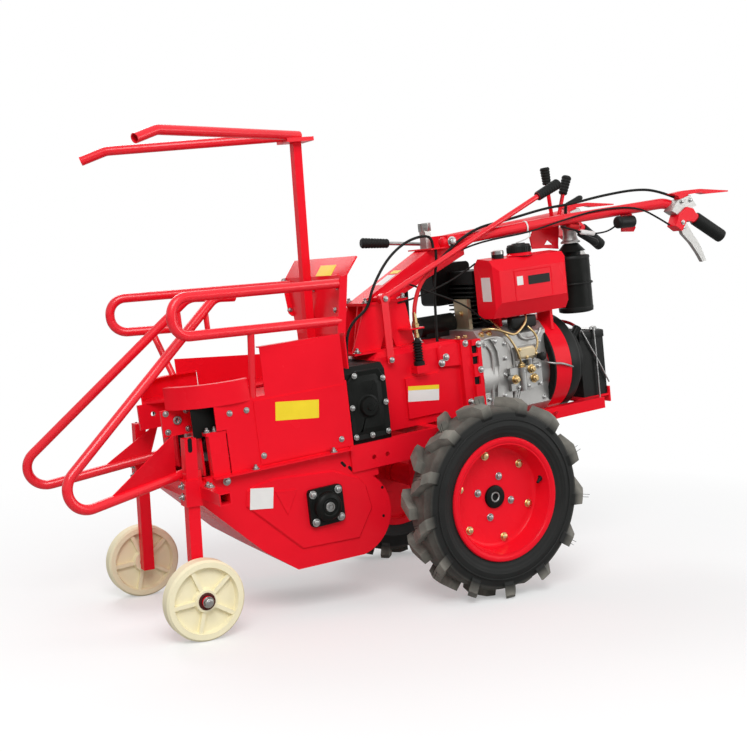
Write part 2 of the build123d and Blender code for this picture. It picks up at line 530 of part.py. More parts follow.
clamp = lever_plate([(-757, 32), (-783, 61), (-837, 74), (-860, 40), (-840, 34), (-814, 39), (-779, 19)],
        240, 276) - bar_core
brake = lever_plate([(-790, -26), (-809, -2), (-838, -45), (-865, -82), (-879, -113), (-886, -132),
        (-870, -134),
                     (-852, -105), (-826, -71), (-795, -41)], 262, 275)
holder = lever_plate([(-763, -14), (-780, 19), (-814, 39), (-840, 32), (-857, 6), (-840, -8), (-811, -2),
        (-787, -31)], 244, 282)
holder = holder - bar_core - brake - clamp - grip
blade = lever_plate([(-765, 84), (-790, 74), (-800, 60), (-822, 66), (-834, 76), (-881, 78), (-907, 72),
        (-1004, 71),
                     (-1004, 75), (-882, 89), (-815, 89)], 249, 273) - clamp - bar_core
gate_edge = [(-417, 92), (-540, 132), (-540, -132), (-417, -92)]
gate = extrude(Plane.XY.offset(YOKE_Z + 34) * outline(gate_edge), amount=6) - bar_core - flip(bar_core)
shift = rod((-524, -4, YOKE_Z + 40), (-514, -4, YOKE_Z + 160), 6)
shift = shift + rod((-515, -4, YOKE_Z + 156), (-511, -4, YOKE_Z + 206), 12)
shift = shift + rod((-523, 24, YOKE_Z + 40), (-553, 24, YOKE_Z + 125), 6)
shift = shift + rod((-551, 24, YOKE_Z + 121), (-573, 24, YOKE_Z + 172), 12) - gate
clutch_rod = rod((PIVOT[0], 88, PIVOT[1]), (-403, 88, YOKE_Z + 121), 8)
clutch_rod = clutch_rod + rod((-400, 88, YOKE_Z + 120), (-482, 88, YOKE_Z + 152), 13)
clutch_rod = clutch_rod + rod((PIVOT[0], 80, PIVOT[1]), (PIVOT[0], 102, PIVOT[1]), 15)
clutch_rod = clutch_rod + block(PIVOT[0] - 9, PIVOT[0] + 13, 97, 102, 392, PIVOT[1])
clutch_rod = clutch_rod + rod((PIVOT[0] + 2, BOX_Y, 402), (PIVOT[0] + 2, 106, 402), 8)
clutch_rod = clutch_rod - rod((PIVOT[0], 38, PIVOT[1]), (PIVOT[0], 104, PIVOT[1]), 8)
lock_lever = rod((-58, -36, YOKE_Z + 4), (-58, -36, YOKE_Z + 24), 10)
lock_lever = lock_lever + rod((-58, -36, YOKE_Z + 18), (58, -52, YOKE_Z + 32), 5)
lock_lever = lock_lever + rod((54, -51.5, YOKE_Z + 31.5), (135, -62, YOKE_Z + 41), 12)
switch_plate = lever_plate([(-641, 48), (-680, 47), (-694, -7), (-685, -18), (-638, -14)], 176, 182)
switch_plate = switch_plate - bar_core
switch = rod((-667, 199, YOKE_Z + 14), (-606, 199, YOKE_Z + 16), 18) - bar_core - switch_plate

# Cables: one from the boot along the bar to the left lever, two from the gear case and gearbox to the yoke
run = [(34, 72, -90), (-30, 70, -35), (-154, 76, 48), (-286, 76, 67), (-422, 96, 100), (-500, 120, 82),
        (-590, 150, 100),
       (-707, 203, 107), (-765, 242, 92), (-790, 256, 72)]
cable = tube([(85, 104, 496), (82, 104, 545)] + [(x, y, YOKE_Z + z) for x, y, z in run],
        CABLE_BEND, CABLE_R, 0)
cable = cable - clamp - blade - boot - bar_core
loop_path = [(291, 62, GEAR_CASE_TOP), (291, 62, 470), (262, 62, 520), (205, 62, 548),
        (188, 62, YOKE_Z - 84), (114, 62, YOKE_Z),
             (40, 62, YOKE_Z + 38), (-30, 58, YOKE_Z + 38), (-30, 58, YOKE_Z + 4)]
drop_path = [(-40, 56, YOKE_Z), (-40, 56, YOKE_Z - 30), (-22, 56, YOKE_Z - 90), (-13, 56, 480),
        (-13, 56, BOX_TOP)]
loops = tube(loop_path, 30, CABLE_R, 0) + tube(drop_path, 20, CABLE_R, 0) - gearbox - gear_case - neck - yoke

for side, s in (("left", 1), ("right", -1)):
    pieces = {"tyre": tyre, "rim": rim + hub, "caster": caster, "deck": deck + ring, "divider": divider,
              "handlebar": handlebar}
    for name, shape in pieces.items():
        nodes[side + "_" + name] = shape if s > 0 else flip(shape)
nodes.update({
    "legs": both(leg), "frame_rails": both(rail), "cross_members": beam + cross_tube,
    "deck_brackets": both(bracket),
    "side_panels": both(panel) + upper + far_upper,
    "end_plates": both(end_plate + front_block), "roll_shields": both(shield), "left_roll": left_roll,
    "right_roll": right_roll, "gear_case": gear_case, "chopper_walls": both(wall),
    "chopper_front_sheet": front_sheet, "chopper_rear_sheet": rear_sheet, "chopper_rotor": rotor,
    "chopper_bearings": both(bearing), "guide_plates": guides, "rear_plate": plate, "stalk_fork": fork,
    "left_hoop": left_hoop, "right_hoop": right_hoop, "gearbox": gearbox + both(axle_case),
    "engine_frame": engine_frame, "battery": battery, "engine_case": engine_case, "cylinder": cylinder,
    "flywheel_shroud": shroud, "recoil_starter": recoil, "tank_bracket": tank_bracket, "fuel_tank": tank,
    "fuel_cap": cap + gauge, "air_cleaner": cleaner, "muffler": muffler, "starter_motor": starter,
    "regulator": regulator, "injection_pump": pump, "column_stand": stand, "neck": neck + yoke,
    "column_nut": nut, "grips": both(grip), "hand_levers": both(clamp) + both(brake),
    "lever_blades": both(blade) + both(holder), "lever_gate": gate + switch_plate,
    "control_levers": shift + lock_lever, "clutch_rod": clutch_rod, "key_switch": switch,
    "clutch_cable": boot + cable, "control_cables": loops,
})

stance = Pos(-DATUM_X, 0, TYRE_R) * Rot(0, PITCH, 0)
os.makedirs("parts", exist_ok=True)
for name, shape in nodes.items():
    export_step(stance * shape, "parts/" + name + ".step")
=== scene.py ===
import json
from math import cos, degrees, pi, radians, sin

import bpy
from mathutils import Matrix, Vector


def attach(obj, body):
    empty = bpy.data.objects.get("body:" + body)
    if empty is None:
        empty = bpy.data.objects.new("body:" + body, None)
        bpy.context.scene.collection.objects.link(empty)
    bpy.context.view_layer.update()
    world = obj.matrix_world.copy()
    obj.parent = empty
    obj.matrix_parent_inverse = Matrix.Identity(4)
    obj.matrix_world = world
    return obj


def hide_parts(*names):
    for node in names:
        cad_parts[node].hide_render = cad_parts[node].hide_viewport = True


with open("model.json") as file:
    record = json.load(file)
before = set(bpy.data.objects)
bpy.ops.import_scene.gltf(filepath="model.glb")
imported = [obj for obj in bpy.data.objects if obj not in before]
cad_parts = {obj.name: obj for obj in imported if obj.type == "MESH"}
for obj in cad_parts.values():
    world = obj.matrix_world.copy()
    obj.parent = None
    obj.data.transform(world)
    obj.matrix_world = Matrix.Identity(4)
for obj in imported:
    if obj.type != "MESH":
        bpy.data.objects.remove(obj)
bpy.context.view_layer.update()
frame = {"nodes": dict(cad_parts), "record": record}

bl_info = {
    "name": "Mini crop harvester",
    "version": (1, 0, 0),
    "blender": (4, 5, 0),
    "location": "View3D > Sidebar > Harvester",
    "description": "Finishes and fittings of a one-row crop harvester on a walking tractor",
    "category": "Object",
}

# The machine is measured in mm from the middle of its drive axle, level, and stands nose-down on the floor
JOINTS = {joint["name"]: joint for joint in frame["record"]["behaviour"]["joints"]}
AXLE = Vector(JOINTS["left_wheel_turn"]["pos_m"])
AHEAD = Vector(JOINTS["left_roll_turn"]["axis"])
CASTER = Vector(JOINTS["left_caster_turn"]["pos_m"])
STANCE = Matrix(((AHEAD.x, 0, -AHEAD.z, AXLE.x), (0, 1, 0, 0), (AHEAD.z, 0, AHEAD.x, AXLE.z), (0, 0, 0, 1)))
STANCE = STANCE @ Matrix.Scale(0.001, 4)
LEVEL = STANCE.inverted()
CREASE = 35  # edges that turn by more degrees than this count as sharp
SIDES = (1, -1)
PAIR = (("left", 1), ("right", -1))
SIDE, UP, FRONT, BACK = (0, 1, 0), (0, 0, 1), (1, 0, 0), (-1, 0, 0)
CHASSIS = "chassis"
FINISHES = {}
# Record slot and finish of the fittings that don't look like their slot. The pair for dark openings is painted shade:
# near-black sheets put where a slot shows only shade.
ZINC, BRASS = ("bright_chrome", "silver_zinc"), ("gold_plate", "brass")
HOLE_SHADE, WHITE = ("black_paint", "shadow_black"), ("cream_nylon", "blank_white")


def spot(point, towards=UP, turn=0.0):
    """Placement in the machine: local Z along towards, turned about itself by degrees."""
    aim = Vector(towards).to_track_quat("Z", "Y").to_matrix().to_4x4()
    return Matrix.Translation(Vector(point)) @ aim @ Matrix.Rotation(radians(turn), 4, "Z")


def clear():
    """Object mode with nothing selected."""
    if bpy.context.object and bpy.context.object.mode != "OBJECT":
        bpy.ops.object.mode_set(mode="OBJECT")
    bpy.ops.object.select_all(action="DESELECT")


def only(piece):
    """Selects one piece and makes it active."""
    clear()
    piece.select_set(True)
    bpy.context.view_layer.objects.active = piece
    return piece


def added(name):
    """Names the primitive that was just added."""
    piece = bpy.context.object
    piece.name = name
    return piece


def linked(name, data):
    """New object of some data in the scene."""
    piece = bpy.data.objects.new(name, data)
    bpy.context.collection.objects.link(piece)
    return piece


def edit(piece):
    """Opens a piece for editing with all of it selected."""
    only(piece)
    bpy.ops.object.mode_set(mode="EDIT")
    bpy.ops.mesh.select_mode(type="FACE")
    bpy.ops.mesh.select_all(action="SELECT")
    return piece


def done():
    """Leaves edit mode."""
    bpy.ops.object.mode_set(mode="OBJECT")


def outward():
    """Turns the faces of the piece in edit mode outwards and leaves edit mode."""
    bpy.ops.mesh.select_all(action="SELECT")
    bpy.ops.mesh.normals_make_consistent(inside=False)
    done()


def pressed(piece, *steps):
    """Insets the top of a piece and raises or sinks it, once for each step."""
    edit(piece)
    bpy.ops.mesh.select_all(action="DESELECT")
    done()
    high = max(v.co.z for v in piece.data.vertices)
    for face in piece.data.polygons:
        face.select = face.normal.z > 0.9 and face.center.z > high - 1e-4
    bpy.ops.object.mode_set(mode="EDIT")
    for inset, lift in steps:
        bpy.ops.mesh.inset(thickness=inset)
        bpy.ops.transform.translate(value=(0, 0, lift))
    done()
    return piece


def soften(piece, width, segments=2, angle=CREASE):
    """Rounds the sharp edges of a piece."""
    only(piece)
    bevel = piece.modifiers.new("edge", "BEVEL")
    bevel.width = width
    bevel.segments = segments
    bevel.limit_method = "ANGLE"
    bevel.angle_limit = radians(angle)
    bpy.ops.object.modifier_apply(modifier="edge")
    bpy.ops.object.shade_smooth_by_angle(angle=radians(angle))
    return piece


def put(piece, matrix):
    """Moves a piece's mesh to its place."""
    only(piece)
    piece.matrix_world = matrix
    bpy.ops.object.transform_apply()
    return piece


def joined(name, pieces):
    """Makes one piece of several."""
    clear()
    for piece in pieces:
        piece.select_set(True)
    bpy.context.view_layer.objects.active = pieces[0]
    if len(pieces) > 1:
        bpy.ops.object.join()
    return added(name)


def copies(pattern, places):
    """One piece made of copies of a pattern, each at its place; the pattern goes."""
    name = pattern.name
    made = [put(linked(name, pattern.data.copy()), place) for place in places]
    bpy.data.objects.remove(pattern)
    return joined(name, made)


def fit(piece, slot, look="", body=CHASSIS):
    """Sets a piece into the machine with the look named, else that of its slot, and the body that it rides on."""
    put(piece, STANCE)
    piece.data.materials.clear()
    piece.data.materials.append(FINISHES[look or slot])
    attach(piece, body)
    return piece


def disc(name, radius, depth, sides=32):
    """Round blank standing on its place, from 0 up to its depth."""
    clear()
    bpy.ops.mesh.primitive_cylinder_add(vertices=sides, radius=radius, depth=depth, location=(0, 0, depth / 2))
    piece = added(name)
    bpy.ops.object.transform_apply()
    return piece


def slab(name, size, base=0.0):
    """Square blank standing on its place."""
    clear()
    bpy.ops.mesh.primitive_cube_add(size=1, location=(0, 0, base + size[2] / 2))
    piece = added(name)
    piece.scale = size
    bpy.ops.object.transform_apply()
    return piece


def hex_bolt(name, across, head, washer, shank=0.0):
    """Hexagon head with a rounded crown on a washer, and a stud end where it has one."""
    bolt = disc(name, across, head, 6)
    soften(pressed(bolt, (across * 0.16, head * 0.12)), across * 0.06, 1)
    parts = [bolt, soften(disc(name + "_washer", washer, 2.0, 20), 0.5, 1)]
    if shank:
        stud = disc(name + "_stud", across * 0.55, head + shank, 12)
        parts.append(soften(pressed(stud, (across * 0.12, 0)), across * 0.05, 1))
    return joined(name, parts)


def turned(name, profile, steps=32):
    """Spins a profile of radius and height about the Z axis, closed where it is open."""
    clear()
    mesh = bpy.data.meshes.new(name)
    points = [(r, 0, z) for r, z in profile]
    lines = [(i, i + 1) for i in range(len(points) - 1)]
    if points[0][0] and points[-1][0]:
        lines.append((len(points) - 1, 0))
    elif points[0][0] or points[-1][0]:
        points.append((0, 0, points[-1][2] if points[-1][0] else points[0][2]))
        lines.append((len(points) - 1, len(points) - 2 if points[-2][0] else 0))
    mesh.from_pydata(points, lines, [])
    piece = edit(linked(name, mesh))
    bpy.ops.mesh.spin(steps=steps, angle=2 * pi, center=(0, 0, 0), axis=(0, 0, 1))
    bpy.ops.mesh.select_all(action="SELECT")
    bpy.ops.mesh.remove_doubles(threshold=0.001)
    outward()
    bpy.ops.object.shade_smooth_by_angle(angle=radians(CREASE))
    return piece


def along(piece, start, end):
    """Sets a piece on a line with its Z axis along it."""
    return put(piece, spot(start, Vector(end) - Vector(start)))


def lathe(name, profile, steps, place, slot, look="", body=CHASSIS):
    """Turned piece at its place in the machine, or one piece of several at a list of places."""
    piece = turned(name, profile, steps)
    piece = copies(piece, place) if isinstance(place, list) else put(piece, place)
    return fit(piece, slot, look, body)


def sheet(name, corners, thick, edge=0.6):
    """Flat outline in local X and Y, given its thickness upwards and soft edges."""
    clear()
    mesh = bpy.data.meshes.new(name)
    mesh.from_pydata([(x, y, 0) for x, y in corners], [], [list(range(len(corners)))])
    piece = edit(linked(name, mesh))
    bpy.ops.mesh.extrude_region_move(TRANSFORM_OT_translate={"value": (0, 0, thick)})
    outward()
    return soften(piece, edge, 1) if edge else piece


def bent_rod(name, points, radius, smooth=True):
    """Round wire or pipe through points in the machine, in mm."""
    clear()
    data = bpy.data.curves.new(name, "CURVE")
    data.dimensions = "3D"
    data.bevel_depth = radius
    data.bevel_resolution = 3
    data.resolution_u = 8
    data.use_fill_caps = True
    line = data.splines.new("NURBS" if smooth else "POLY")
    line.points.add(len(points) - 1)
    for knot, point in zip(line.points, points):
        knot.co = (*point, 1)
    if smooth:
        line.order_u = 3
        line.use_endpoint_u = True
    only(linked(name, data))
    bpy.ops.object.convert(target="MESH")
    piece = added(name)
    bpy.ops.object.shade_smooth_by_angle(angle=radians(40))
    return piece


def rods(name, runs, slot, look="", smooth=True):
    """One piece of wires or pipes, each with its radius and points."""
    made = [bent_rod(name, points, radius, smooth) for radius, points in runs]
    return fit(joined(name, made), slot, look)


def tint(name, description, default):
    """Colour property."""
    return bpy.props.FloatVectorProperty(name=name, description=description, subtype="COLOR", size=3, min=0, max=1,
        default=default)


class HarvesterPaints(bpy.types.PropertyGroup):
    """Colours of the finishes."""

    red: tint("Red paint", "Gloss red of the sheet metal and tubes", (0.88, 0.008, 0.022))
    rubber: tint("Tyre rubber", "Dark side of the tyres", (0.01, 0.0105, 0.01))
    dust: tint("Worn lug", "Dry grey of the lug faces", (0.246, 0.236, 0.205))
    cream: tint("Cream nylon", "Front caster wheels", (0.93, 0.86, 0.6))
    black: tint("Black paint", "Satin black castings and guards", (0.008, 0.009, 0.008))
    plastic: tint("Black plastic", "Moulded caps, knobs and battery", (0.012, 0.013, 0.012))
    aluminium: tint("Cast aluminium", "Engine case", (0.44, 0.435, 0.42))
    zinc: tint("Yellow zinc", "Passivated bolts and brackets", (0.72, 0.55, 0.28))
    label: tint("Blank label", "Plain yellow stickers", (0.9, 0.68, 0.03))


class HarvesterSizes(bpy.types.PropertyGroup):
    """Sizes of the small fittings."""

    hair: bpy.props.FloatProperty(name="Tyre hair", description="Length of the moulding hairs, mm", default=24.0,
        min=2)
    lens: bpy.props.FloatProperty(name="Lens", description="Focal length of the view", default=52.39,
        subtype="DISTANCE_CAMERA")


def paints():
    """Colours that are set in the panel."""
    return bpy.context.scene.harvester_paints


def sizes():
    """Sizes that are set in the panel."""
    return bpy.context.scene.harvester_sizes


def wire(tree, kind, **settings):
    """Adds a shader node with its settings."""
    node = tree.nodes.new(kind)
    for key, value in settings.items():
        setattr(node, key, value)
    return node


def maths(tree, operation, one, two=None):
    """Result of a sum on sockets or numbers."""
    node = wire(tree, "ShaderNodeMath", operation=operation)
    for socket, value in zip(node.inputs, (one, two)):
        if isinstance(value, bpy.types.NodeSocket):
            tree.links.new(value, socket)
        elif value is not None:
            socket.default_value = value
    return node.outputs[0]


def fresh(name):
    """Empty material with its shader, output and object coordinates."""
    material = bpy.data.materials.new(name)
    material.use_nodes = True
    tree = material.node_tree
    shader = tree.nodes["Principled BSDF"]
    place = wire(tree, "ShaderNodeTexCoord")
    return material, tree, shader, place.outputs["Object"]


def cloud(tree, place, scale, detail=3.0, rough=0.55):
    """Noise on object coordinates."""
    noise = wire(tree, "ShaderNodeTexNoise")
    noise.inputs["Scale"].default_value = scale
    noise.inputs["Detail"].default_value = detail
    noise.inputs["Roughness"].default_value = rough
    tree.links.new(place, noise.inputs["Vector"])
    return noise.outputs["Fac"]


def span(tree, value, low, high, start=0.3, end=0.7):
    """Maps a 0 to 1 value to a range."""
    node = wire(tree, "ShaderNodeMapRange")
    node.inputs["From Min"].default_value = start
    node.inputs["From Max"].default_value = end
    node.inputs["To Min"].default_value = low
    node.inputs["To Max"].default_value = high
    tree.links.new(value, node.inputs["Value"])
    return node.outputs["Result"]


def mixed(tree, value, one, two):
    """Mix of two colours, or of a colour socket and a colour, by a value."""
    node = wire(tree, "ShaderNodeMix", data_type="RGBA")
    tree.links.new(value, node.inputs["Factor"])
    for key, colour in (("A", one), ("B", two)):
        socket = [s for s in node.inputs if s.name == key and s.type == "RGBA"][0]
        if isinstance(colour, bpy.types.NodeSocket):
            tree.links.new(colour, socket)
        else:
            socket.default_value = (*colour, 1)
    return [s for s in node.outputs if s.type == "RGBA"][0]


def rise(tree, shader, value, strength, distance=0.001):
    """Bump from a value."""
    node = wire(tree, "ShaderNodeBump")
    node.inputs["Strength"].default_value = strength
    node.inputs["Distance"].default_value = distance
    tree.links.new(value, node.inputs["Height"])
    tree.links.new(node.outputs["Normal"], shader.inputs["Normal"])


def shade_of(colour, factor):
    """Colour made darker or lighter."""
    return tuple(min(1.0, c * factor) for c in colour)


def finish(name, colour, metal=0.0, rough=(0.3, 0.45), worn=0.75, patch=9.0, grain=600.0, bump=0.12, gloss=0.16):
    """Surface with soft colour variation, uneven gloss and a fine grain."""
    material, tree, shader, place = fresh(name)
    broad = cloud(tree, place, patch)
    fine = cloud(tree, place, grain, 2.0)
    tone = mixed(tree, span(tree, broad, 0, 1), shade_of(colour, worn), colour)
    tree.links.new(tone, shader.inputs["Base Color"])
    tree.links.new(span(tree, broad, rough[0], rough[1]), shader.inputs["Roughness"])
    shader.inputs["Metallic"].default_value = metal
    shader.inputs["Specular IOR Level"].default_value = gloss
    rise(tree, shader, fine, bump)
    FINISHES[name] = material


def tyre_finish(name, colour, dust):
    """Rubber that is dry and grey on the lugs, dark on the side, with moulded rings."""
    material, tree, shader, place = fresh(name)
    move = wire(tree, "ShaderNodeMapping")
    move.inputs["Location"].default_value = (-AXLE.x, 0, -AXLE.z)
    tree.links.new(place, move.inputs["Vector"])
    split = wire(tree, "ShaderNodeSeparateXYZ")
    tree.links.new(move.outputs["Vector"], split.inputs["Vector"])
    flat = wire(tree, "ShaderNodeCombineXYZ")
    tree.links.new(split.outputs["X"], flat.inputs["X"])
    tree.links.new(split.outputs["Z"], flat.inputs["Z"])
    reach = wire(tree, "ShaderNodeVectorMath", operation="LENGTH")
    tree.links.new(flat.outputs["Vector"], reach.inputs[0])
    radius = reach.outputs["Value"]
    lug_foot, lug_top, ring_top, ring_waves = 0.236, 0.262, 0.196, 520.0
    broad = cloud(tree, place, 22.0, 5.0)
    fine = cloud(tree, place, 420.0, 3.0)
    worn = maths(tree, "MULTIPLY", span(tree, radius, 0.0, 1.0, lug_foot, lug_top), span(tree, broad, 0.45, 1.0))
    side = mixed(tree, span(tree, broad, 0, 1), colour, shade_of(colour, 1.6))
    tree.links.new(mixed(tree, worn, side, dust), shader.inputs["Base Color"])
    tree.links.new(span(tree, broad, 0.5, 0.72), shader.inputs["Roughness"])
    shader.inputs["Specular IOR Level"].default_value = 0.2
    wave = maths(tree, "SINE", maths(tree, "MULTIPLY", radius, ring_waves))
    rings = maths(tree, "MULTIPLY", wave, span(tree, radius, 1.0, 0.0, ring_top, ring_top + 0.004))
    rise(tree, shader, maths(tree, "ADD", rings, fine), 0.35)
    FINISHES[name] = material


def make_finishes():
    """Makes every finish from the colours of the panel."""
    p = paints()
    finish("red_paint", p.red, 0.0, (0.2, 0.3), 0.9, 5.0, 850.0, 0.02, 0.1)
    finish("red_tube", p.red, 0.0, (0.2, 0.3), 0.9, 5.0, 850.0, 0.02, 0.5)
    finish("cream_nylon", p.cream, 0.0, (0.42, 0.55), 0.95, 14.0, 500.0, 0.1)
    finish("black_paint", p.black, 0.0, (0.3, 0.5), 0.6, 18.0, 800.0, 0.2, 0.11)
    finish("black_plastic", p.plastic, 0.0, (0.34, 0.5), 0.7, 12.0, 900.0, 0.18)
    finish("grip_rubber", shade_of(p.plastic, 0.9), 0.0, (0.5, 0.66), 0.7, 20.0, 700.0, 0.25)
    finish("cast_aluminium", p.aluminium, 0.85, (0.36, 0.52), 0.82, 16.0, 620.0, 0.45)
    finish("bare_steel", (0.4, 0.4, 0.39), 1.0, (0.3, 0.46), 0.7, 24.0, 500.0, 0.2)
    finish("bright_chrome", (0.45, 0.44, 0.42), 1.0, (0.28, 0.36), 0.85, 20.0, 500.0, 0.05)
    finish("gold_plate", (0.5, 0.42, 0.28), 0.8, (0.3, 0.42), 0.85, 30.0, 500.0, 0.1)
    finish("yellow_zinc", p.zinc, 1.0, (0.24, 0.4), 0.75, 60.0, 500.0, 0.1)
    finish("silver_zinc", (0.44, 0.44, 0.43), 1.0, (0.26, 0.4), 0.75, 60.0, 500.0, 0.08)
    finish("brass", (0.56, 0.41, 0.2), 1.0, (0.24, 0.36), 0.8, 40.0, 500.0, 0.08)
    finish("blank_yellow", p.label, 0.0, (0.36, 0.46), 0.93, 20.0, 300.0, 0.03)
    finish("blank_white", (0.8, 0.8, 0.78), 0.0, (0.36, 0.46), 0.94, 20.0, 300.0, 0.03)
    finish("dark_red", (0.075, 0.014, 0.012), 0.0, (0.3, 0.45), 0.8, 20.0, 500.0, 0.08)
    finish("red_sheath", (0.62, 0.016, 0.022), 0.0, (0.36, 0.48), 0.85, 20.0, 500.0, 0.08)
    finish("shadow_black", (0.004, 0.004, 0.004), 0.0, (0.6, 0.75), 0.8, 20.0, 500.0, 0.05)
    finish("fin_black", p.black, 0.0, (0.38, 0.55), 0.7, 30.0, 900.0, 0.3)
    tyre_finish("tyre_rubber", p.rubber, p.dust)


class HARVESTER_OT_paint(bpy.types.Operator):
    """Give every CAD piece its finish"""

    bl_idname = "harvester.paint"
    bl_label = "Paint the machine"

    def execute(self, context):
        make_finishes()
        slots = {row["node"]: row["material_slot"] for row in frame["record"]["subparts"]}
        for name, piece in frame["nodes"].items():
            bent = name.endswith(("_hoop", "_divider", "_handlebar", "_fork", "clutch_rod"))
            material = FINISHES["fin_black" if name == "cylinder" else "red_tube" if bent else slots[name]]
            piece.data.materials.clear()
            piece.data.materials.append(material)
        return {"FINISHED"}


class HARVESTER_OT_wheels(bpy.types.Operator):
    """Bolts, hub caps and valves of the drive wheels"""

    bl_idname = "harvester.wheels"
    bl_label = "Wheel fittings"

    def execute(self, context):
        rim_bolts, rim_r, hub_bolts, hub_r = 6, 120.0, 4, 58.0
        face, middle = 284.0, 287.0
        for side, s in PAIR:
            body = side + "_wheel"
            out = (0, s, 0)
            hub, wheel = spot((0, s * face, 0), out), spot((0, s * middle, 0), out)

            def ring(count, radius, start=21):
                turns = [radians(start + i * 360 / count) for i in range(count)]
                points = [(radius * cos(a), s * face, radius * sin(a)) for a in turns]
                return [spot(point, out, degrees(a)) for point, a in zip(points, turns)]

            bolt = hex_bolt(side + "_rim_bolts", 9.4, 8.0, 12.0)
            fit(copies(bolt, ring(rim_bolts, rim_r)), "gold_plate", "yellow_zinc", body)
            bolt = hex_bolt(side + "_hub_bolts", 7.8, 7.0, 11.0)
            fit(copies(bolt, ring(hub_bolts, hub_r)), *ZINC, body)
            lathe(side + "_hub_cap", [(15, -2), (15, 6), (17, 7.5), (27, 7.5), (30.5, 6), (32, 3.5), (32.5, -2)], 40,
                hub, "black_paint", body=body)
            lathe(side + "_hub_seat", [(10, -2), (10, 5), (11, 6.2), (14, 6.2), (15, 5), (15, -2)], 32, hub,
                "bare_steel", body=body)
            # Near-black disc of painted shade in the bore of the hub seat
            lathe(side + "_hub_well_shade", [(0, 0.6), (9, 0.6), (10.4, 1.5), (10.4, -1), (0, -1)], 24, hub, *HOLE_SHADE, body)
            lip = [(171, 42), (171.6, 50), (169, 53.4), (164, 54.4), (158.5, 53), (154, 49), (151, 41), (148, 26),
                (144.5, 12), (140, 3), (135, -1.6), (128, -3), (0, -3), (0, -6), (128, -6), (150, 0), (156, 42)]
            lathe(side + "_rim_dish", lip, 72, wheel, "red_paint", body=body)
            lathe(side + "_side_ring", [(216, 40), (217, 55.5), (218.5, 57), (220.5, 57), (222, 55.5), (223, 40)], 72,
                wheel, "tyre_rubber", body=body)
            lathe(side + "_valve", [(0, 20), (3.4, 20), (4.2, 18), (4.2, 11), (5.4, 9), (6.4, 1), (9, -1), (9, -4),
                (0, -4)], 16, spot((-143, s * 312, 26.5), (0.85, s * 0.3, -0.4)), "black_plastic", body=body)
        return {"FINISHED"}


class HARVESTER_OT_casters(bpy.types.Operator):
    """Bearing rings and axle nuts of the front casters"""

    bl_idname = "harvester.casters"
    bl_label = "Caster fittings"

    def execute(self, context):
        middle = LEVEL @ CASTER
        for side, s in PAIR:
            y = s * 261.0
            lathe(side + "_caster_seal", [(13, 0), (13, 3), (15, 4), (18.5, 4), (20.8, 2.6), (21.5, 0)], 36,
                spot((middle.x, y, middle.z), (0, s, 0)), "red_paint", "dark_red", side + "_caster_wheel")
            nut = hex_bolt(side + "_caster_nut", 11.5, 9.0, 14.0, 3.0)
            put(nut, spot((middle.x, y + s * 9, middle.z), (0, s, 0), 10))
            fit(nut, *ZINC)
        return {"FINISHED"}


def oblong(width, height, steps=8):
    """Outline with round ends, long along local Y."""
    r, half = width / 2, (height - width) / 2
    turns = [pi * i / steps for i in range(steps + 1)]
    upper = [(r * cos(a), half + r * sin(a)) for a in turns]
    return upper + [(-x, -y) for x, y in upper]


def rectangle(width, height):
    """Rectangle outline about its middle."""
    x, y = width / 2, height / 2
    return [(-x, -y), (x, -y), (x, y), (-x, y)]


def sticker(name, point, towards, size, turn, look):
    """Thin blank label on a face."""
    return fit(put(sheet(name, rectangle(*size), 0.6, 0.2), spot(point, towards, turn)), "cream_nylon", look)


def bolts(name, places, slot=ZINC[0], look=ZINC[1], *, size):
    """Group of like bolts at points with the way that they face."""
    twist = 17
    spots = [spot(point, towards, twist * i) for i, (point, towards) in enumerate(places)]
    return fit(copies(hex_bolt(name, *size), spots), slot, look)


def both(x, y, z, turn=0.0):
    """Placements on the left and right, facing outwards."""
    return [spot((x, s * y, z), (0, s, 0), turn * s) for s in SIDES]


def facing(way, *points):
    """Points that all face one way."""
    return [(point, way) for point in points]


def mirrored(places):
    """Places on the left and the same on the right."""
    return places + [((x, -y, z), (a, -b, c)) for (x, y, z), (a, b, c) in places]


def ribs(name, start, end, radius, count, flare=1.8, ring=1.3):
    """Moulded handle over a rod between two points, ringed and a little wider at its end."""
    length = (Vector(end) - Vector(start)).length
    pitch = length / count
    profile = [(0, -1.2), (radius * 0.9, -1.2)]
    for i in range(count):
        wide = radius + 0.3 + flare * i / count
        profile += [(wide, pitch * (i + 0.06)), (wide + ring, pitch * (i + 0.28)), (wide + ring, pitch * (i + 0.72)),
            (wide, pitch * (i + 0.94))]
    profile += [(radius + flare, length), (radius + flare - 2, length + 2), (0, length + 2.4)]
    return along(turned(name, profile, 28), start, end)


